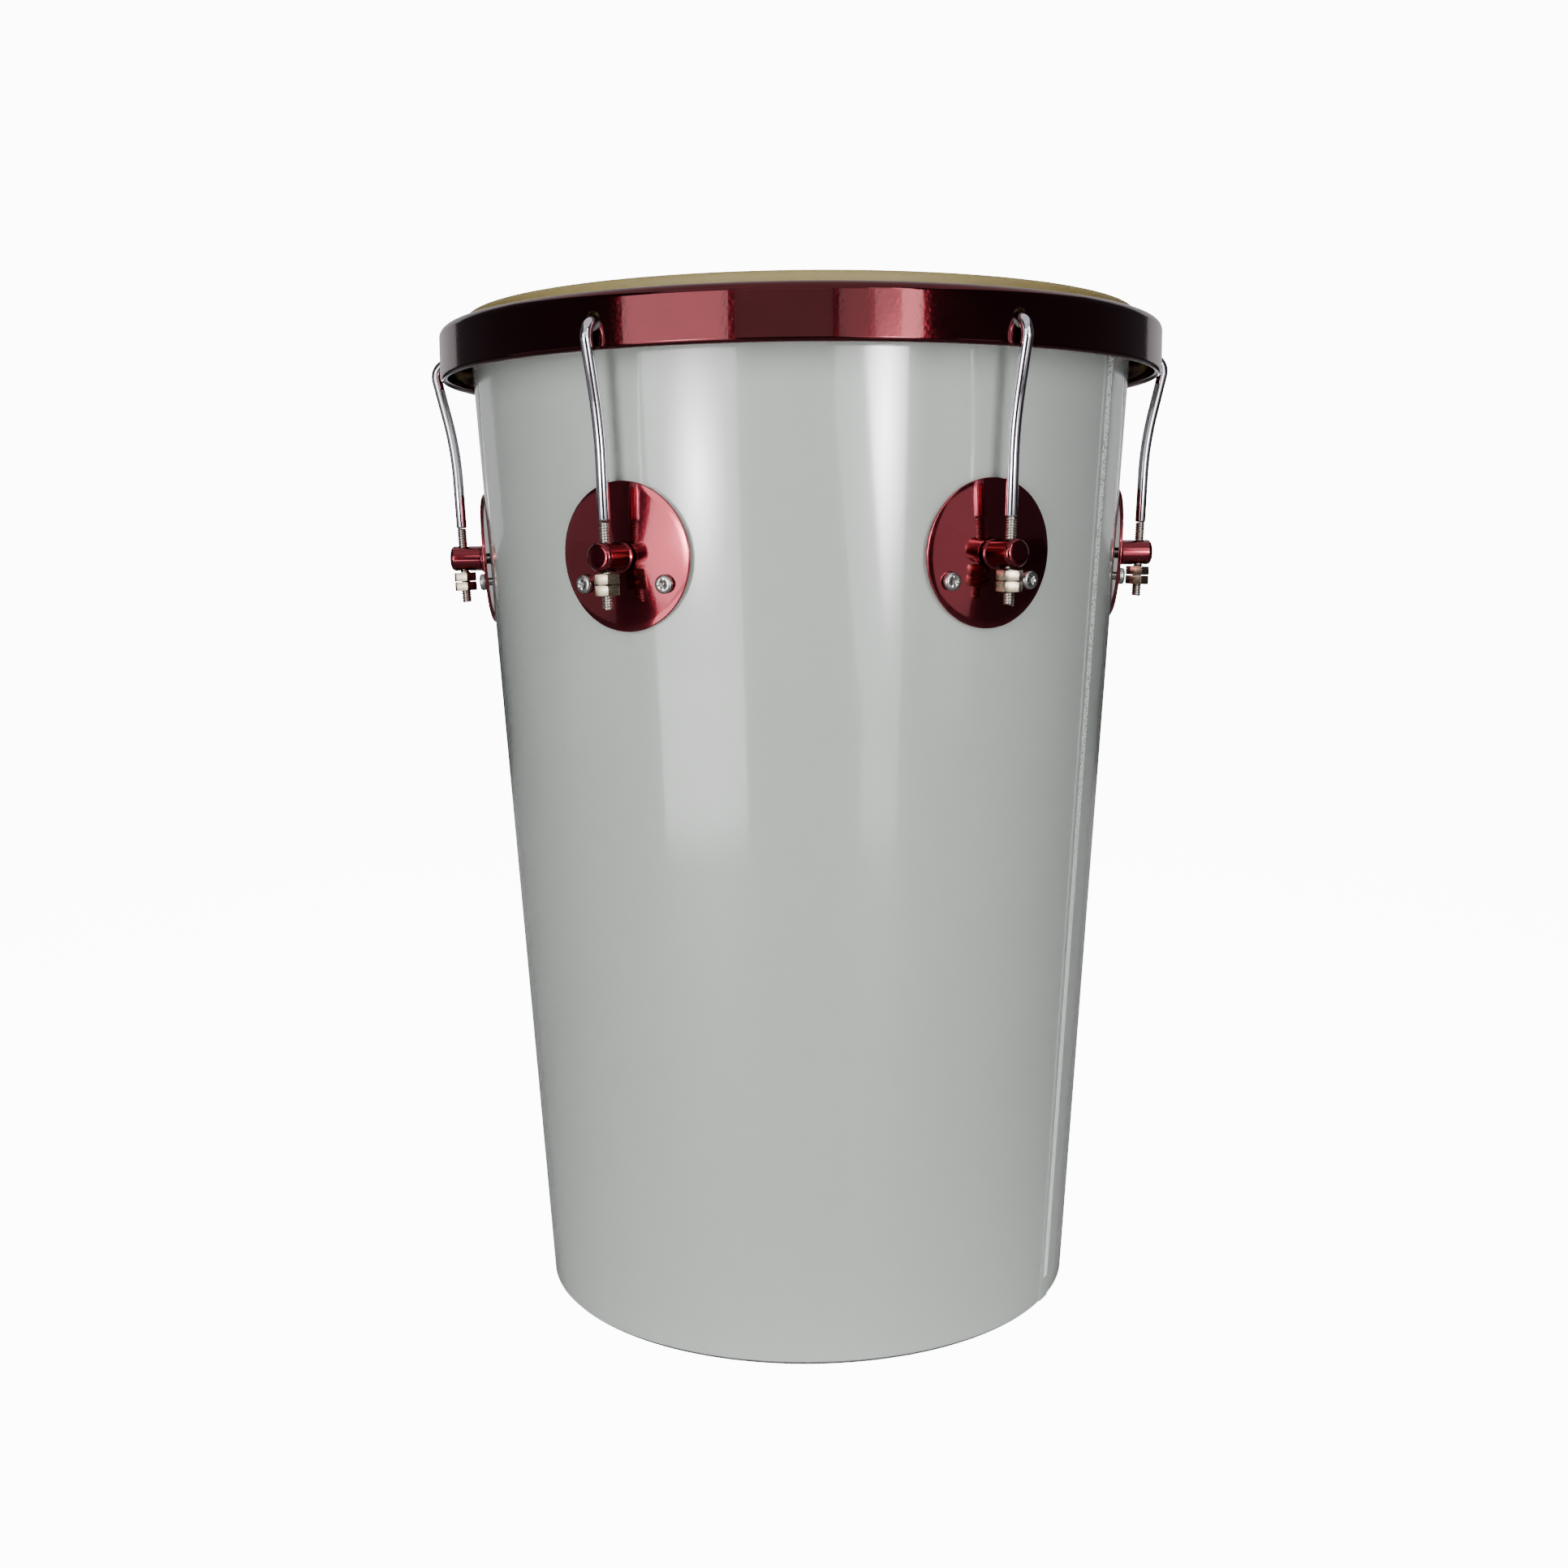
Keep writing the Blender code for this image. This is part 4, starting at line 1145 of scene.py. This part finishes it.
def paint_softbox(data, layers):
    """Sum layers of brightness on a softbox: each has a strength, edges that it fades in from, and a spot or none."""
    data.use_nodes = True
    tree = data.node_tree
    place = add(tree, "ShaderNodeNewGeometry")
    total = None
    for strength, edges, spot in layers:
        layer = add(tree, "ShaderNodeValue")
        layer.outputs[0].default_value = strength
        masks = []
        for across, up, offset in edges:
            slope = add(tree, "ShaderNodeVectorMath", {1: (across, up, 0.0)}, operation="DOT_PRODUCT")
            wire(tree, place, "Parametric", slope, 0)
            cover = add(tree, "ShaderNodeMath", {1: offset}, operation="ADD", use_clamp=True)
            wire(tree, slope, "Value", cover, 0)
            masks.append(cover)
        if spot:
            across, up, width, height = spot
            moved = add(tree, "ShaderNodeVectorMath", {1: (across, up, 0.0)}, operation="SUBTRACT")
            wire(tree, place, "Parametric", moved, 0)
            scaled = add(tree, "ShaderNodeVectorMath", {1: (width, height, 1.0)}, operation="DIVIDE")
            wire(tree, moved, 0, scaled, 0)
            ball = add(tree, "ShaderNodeTexGradient", gradient_type="QUADRATIC_SPHERE")
            wire(tree, scaled, 0, ball, "Vector")
            masks.append(ball)
        for mask in masks:
            masked = add(tree, "ShaderNodeMath", operation="MULTIPLY")
            wire(tree, layer, 0, masked, 0)
            wire(tree, mask, len(mask.outputs) - 1, masked, 1)
            layer = masked
        if total:
            both = add(tree, "ShaderNodeMath", operation="ADD")
            wire(tree, total, 0, both, 0)
            wire(tree, layer, 0, both, 1)
            layer = both
        total = layer
    wire(tree, total, 0, tree.nodes["Emission"], "Strength")


def area_light(name, azimuth, height, size, power, seen=True, lights=True, distance=1.5, aim=None, layers=None):
    """A softbox round the drum: it may show in mirrors, light matt faces, or both."""
    data = bpy.data.lights.new(name, "AREA")
    data.shape = "RECTANGLE"
    data.size, data.size_y = size
    data.energy = power
    if layers:
        paint_softbox(data, layers)
    light = bpy.data.objects.new(name, data)
    bpy.context.scene.collection.objects.link(light)
    turn = math.radians(FRONT_ANGLE + azimuth)
    place = Vector((math.cos(turn) * distance, math.sin(turn) * distance, height))
    light.location = place
    target = Vector((0.0, 0.0, height if aim is None else aim))
    light.rotation_euler = (target - place).to_track_quat("-Z", "Y").to_euler()
    light.visible_glossy = seen
    light.visible_diffuse = lights


def build_lights():
    """Softboxes at both sides, a high front light, a top light and dim cards for the mirrored faces."""
    glints = {"lights": False}
    above_floor = (0.0, 20.0, 0.0)
    area_light(
        "left_softbox", -36.5, 0.45, (0.84, 0.90), 10.2,
        layers=[(1.0, [above_floor], None), (11.5, [], (0.556, 0.31, 0.42, 0.20))], **glints,
    )
    soft_ended = [(1.0, [(0.0, 3.9, -0.1), (0.0, -6.05, 6.05)], None)]
    area_light("left_foot", -35.0, 0.089, (0.44, 0.172), 1.02, distance=0.82, layers=soft_ended, **glints)
    area_light("right_foot", 24.4, 0.089, (0.18, 0.172), 0.21, distance=0.82, layers=soft_ended, **glints)
    area_light(
        "right_softbox", 21.25, 0.45, (0.61, 0.90), 2.9,
        layers=[
            (1.0, [above_floor, (100.0, 95.0, -35.0)], None),
            (0.8, [above_floor, (100.0, 95.0, -35.0), (0.0, -10.0, 6.2)], None),
            (44.0, [(12.5, 12.1, -9.9)], (0.68, 0.37, 0.48, 0.33)),
        ], **glints,
    )
    area_light("right_strip", 26.5, 0.95, (0.35, 0.90), 2.6, distance=1.46, **glints)
    area_light("right_edge", 30.3, 0.95, (0.16, 0.90), 2.8, distance=1.45, **glints)
    area_light("left_key", -25.0, 0.50, (0.13, 0.70), 3.85, seen=False, distance=0.75, aim=0.22)
    area_light("right_key", 23.0, 0.50, (0.12, 0.70), 2.95, seen=False, distance=0.75, aim=0.22)
    area_light("back_fill", 180.0, 0.80, (1.60, 0.90), 28.0, seen=False, aim=0.25)
    area_light("top_softbox", 0.0, 1.90, (1.40, 1.40), 5.0, seen=False, distance=0.4, aim=0.45)
    area_light("ceiling_card", 0.0, 1.95, (2.80, 2.80), 18.0, distance=0.01, aim=0.45, **glints)
    area_light("upper_card", -8.0, 1.60, (2.40, 1.20), 6.0, **glints)
    area_light("front_card", -5.5, 0.83, (0.72, 0.75), 1.2, **glints)
    area_light("brow_strip", -5.0, 0.93, (0.72, 0.05), 1.2, **glints)
    area_light("back_card", 180.0, 1.15, (3.40, 1.70), 9.0, **glints)
    area_light("left_card", -80.5, 0.25, (0.78, 0.50), 0.30, **glints)
    area_light("right_card", 51.0, 0.25, (0.37, 0.50), 0.34, **glints)


def build_world():
    """White to the camera, dim grey in reflections."""
    world = bpy.data.worlds.new("studio")
    bpy.context.scene.world = world
    world.use_nodes = True
    tree = world.node_tree
    tree.nodes.clear()
    output = add(tree, "ShaderNodeOutputWorld")
    seen = add(tree, "ShaderNodeBackground", {"Color": (1.0, 1.0, 1.0, 1.0), "Strength": 12.0})
    dim = add(tree, "ShaderNodeBackground", {"Color": (0.066, 0.064, 0.073, 1.0), "Strength": 1.0})
    path = add(tree, "ShaderNodeLightPath")
    mix = add(tree, "ShaderNodeMixShader")
    wire(tree, path, "Is Camera Ray", mix, 0)
    wire(tree, dim, 0, mix, 1)
    wire(tree, seen, 0, mix, 2)
    wire(tree, mix, 0, output, 0)


class DRUM_OT_stage(bpy.types.Operator):
    """Set up the floor, the lights and the camera"""

    bl_idname = "drum.stage"
    bl_label = "Stage"

    def execute(self, context):
        stage = settings().stage
        bm = bmesh.new()
        bmesh.ops.create_grid(bm, x_segments=1, y_segments=1, size=stage.floor_size / 2.0)
        to_object("floor", bm, floor_material())
        build_world()
        build_lights()
        data = bpy.data.cameras.new("camera")
        data.lens = stage.lens
        data.sensor_width = 36.0
        data.clip_start = 0.01
        camera = bpy.data.objects.new("camera", data)
        context.scene.collection.objects.link(camera)
        camera.matrix_world = (
            Matrix.Rotation(stage.camera_azimuth, 4, "Z")
            @ Matrix.Translation((0.0, -stage.camera_distance, stage.camera_height))
            @ Matrix.Rotation(stage.camera_yaw, 4, "Z")
            @ Matrix.Rotation(math.pi / 2 - stage.camera_pitch, 4, "X")
            @ Matrix.Rotation(stage.camera_roll, 4, "Z")
        )
        context.scene.camera = camera
        return {"FINISHED"}


PIECE_OPERATORS = (
    DRUM_OT_shell, DRUM_OT_laminate, DRUM_OT_skin, DRUM_OT_flesh_hoop, DRUM_OT_tension_hoop,
    DRUM_OT_lug_plates, DRUM_OT_lug_barrels, DRUM_OT_barrel_bolts, DRUM_OT_hook_rods, DRUM_OT_nuts,
    DRUM_OT_plate_screws, DRUM_OT_stage,
)


class DRUM_PT_panel(bpy.types.Panel):
    """Lists the drum's pieces."""

    bl_idname = "DRUM_PT_panel"
    bl_label = "Rebolo Drum"
    bl_space_type = "VIEW_3D"
    bl_region_type = "UI"
    bl_category = "Drum"

    def draw(self, context):
        for operator in PIECE_OPERATORS:
            self.layout.operator(operator.bl_idname)


CLASSES = (
    DrumShellSettings, DrumHeadSettings, DrumStationSettings, DrumFinishSettings, DrumStageSettings, Settings,
    *PIECE_OPERATORS, DRUM_PT_panel,
)


def register():
    """Register every class and the settings."""
    for entry in CLASSES:
        bpy.utils.register_class(entry)
    bpy.types.Scene.drum = PointerProperty(type=Settings)


def unregister():
    """Remove the settings and every class."""
    del bpy.types.Scene.drum
    for entry in reversed(CLASSES):
        bpy.utils.unregister_class(entry)


def main():
    """Build every piece and the stage."""
    register()
    bpy.ops.drum.shell()
    bpy.ops.drum.laminate()
    bpy.ops.drum.skin()
    bpy.ops.drum.flesh_hoop()
    bpy.ops.drum.tension_hoop()
    bpy.ops.drum.lug_plates()
    bpy.ops.drum.lug_barrels()
    bpy.ops.drum.barrel_bolts()
    bpy.ops.drum.hook_rods()
    bpy.ops.drum.nuts()
    bpy.ops.drum.plate_screws()
    bpy.ops.drum.stage()


if __name__ == "__main__":
    main()
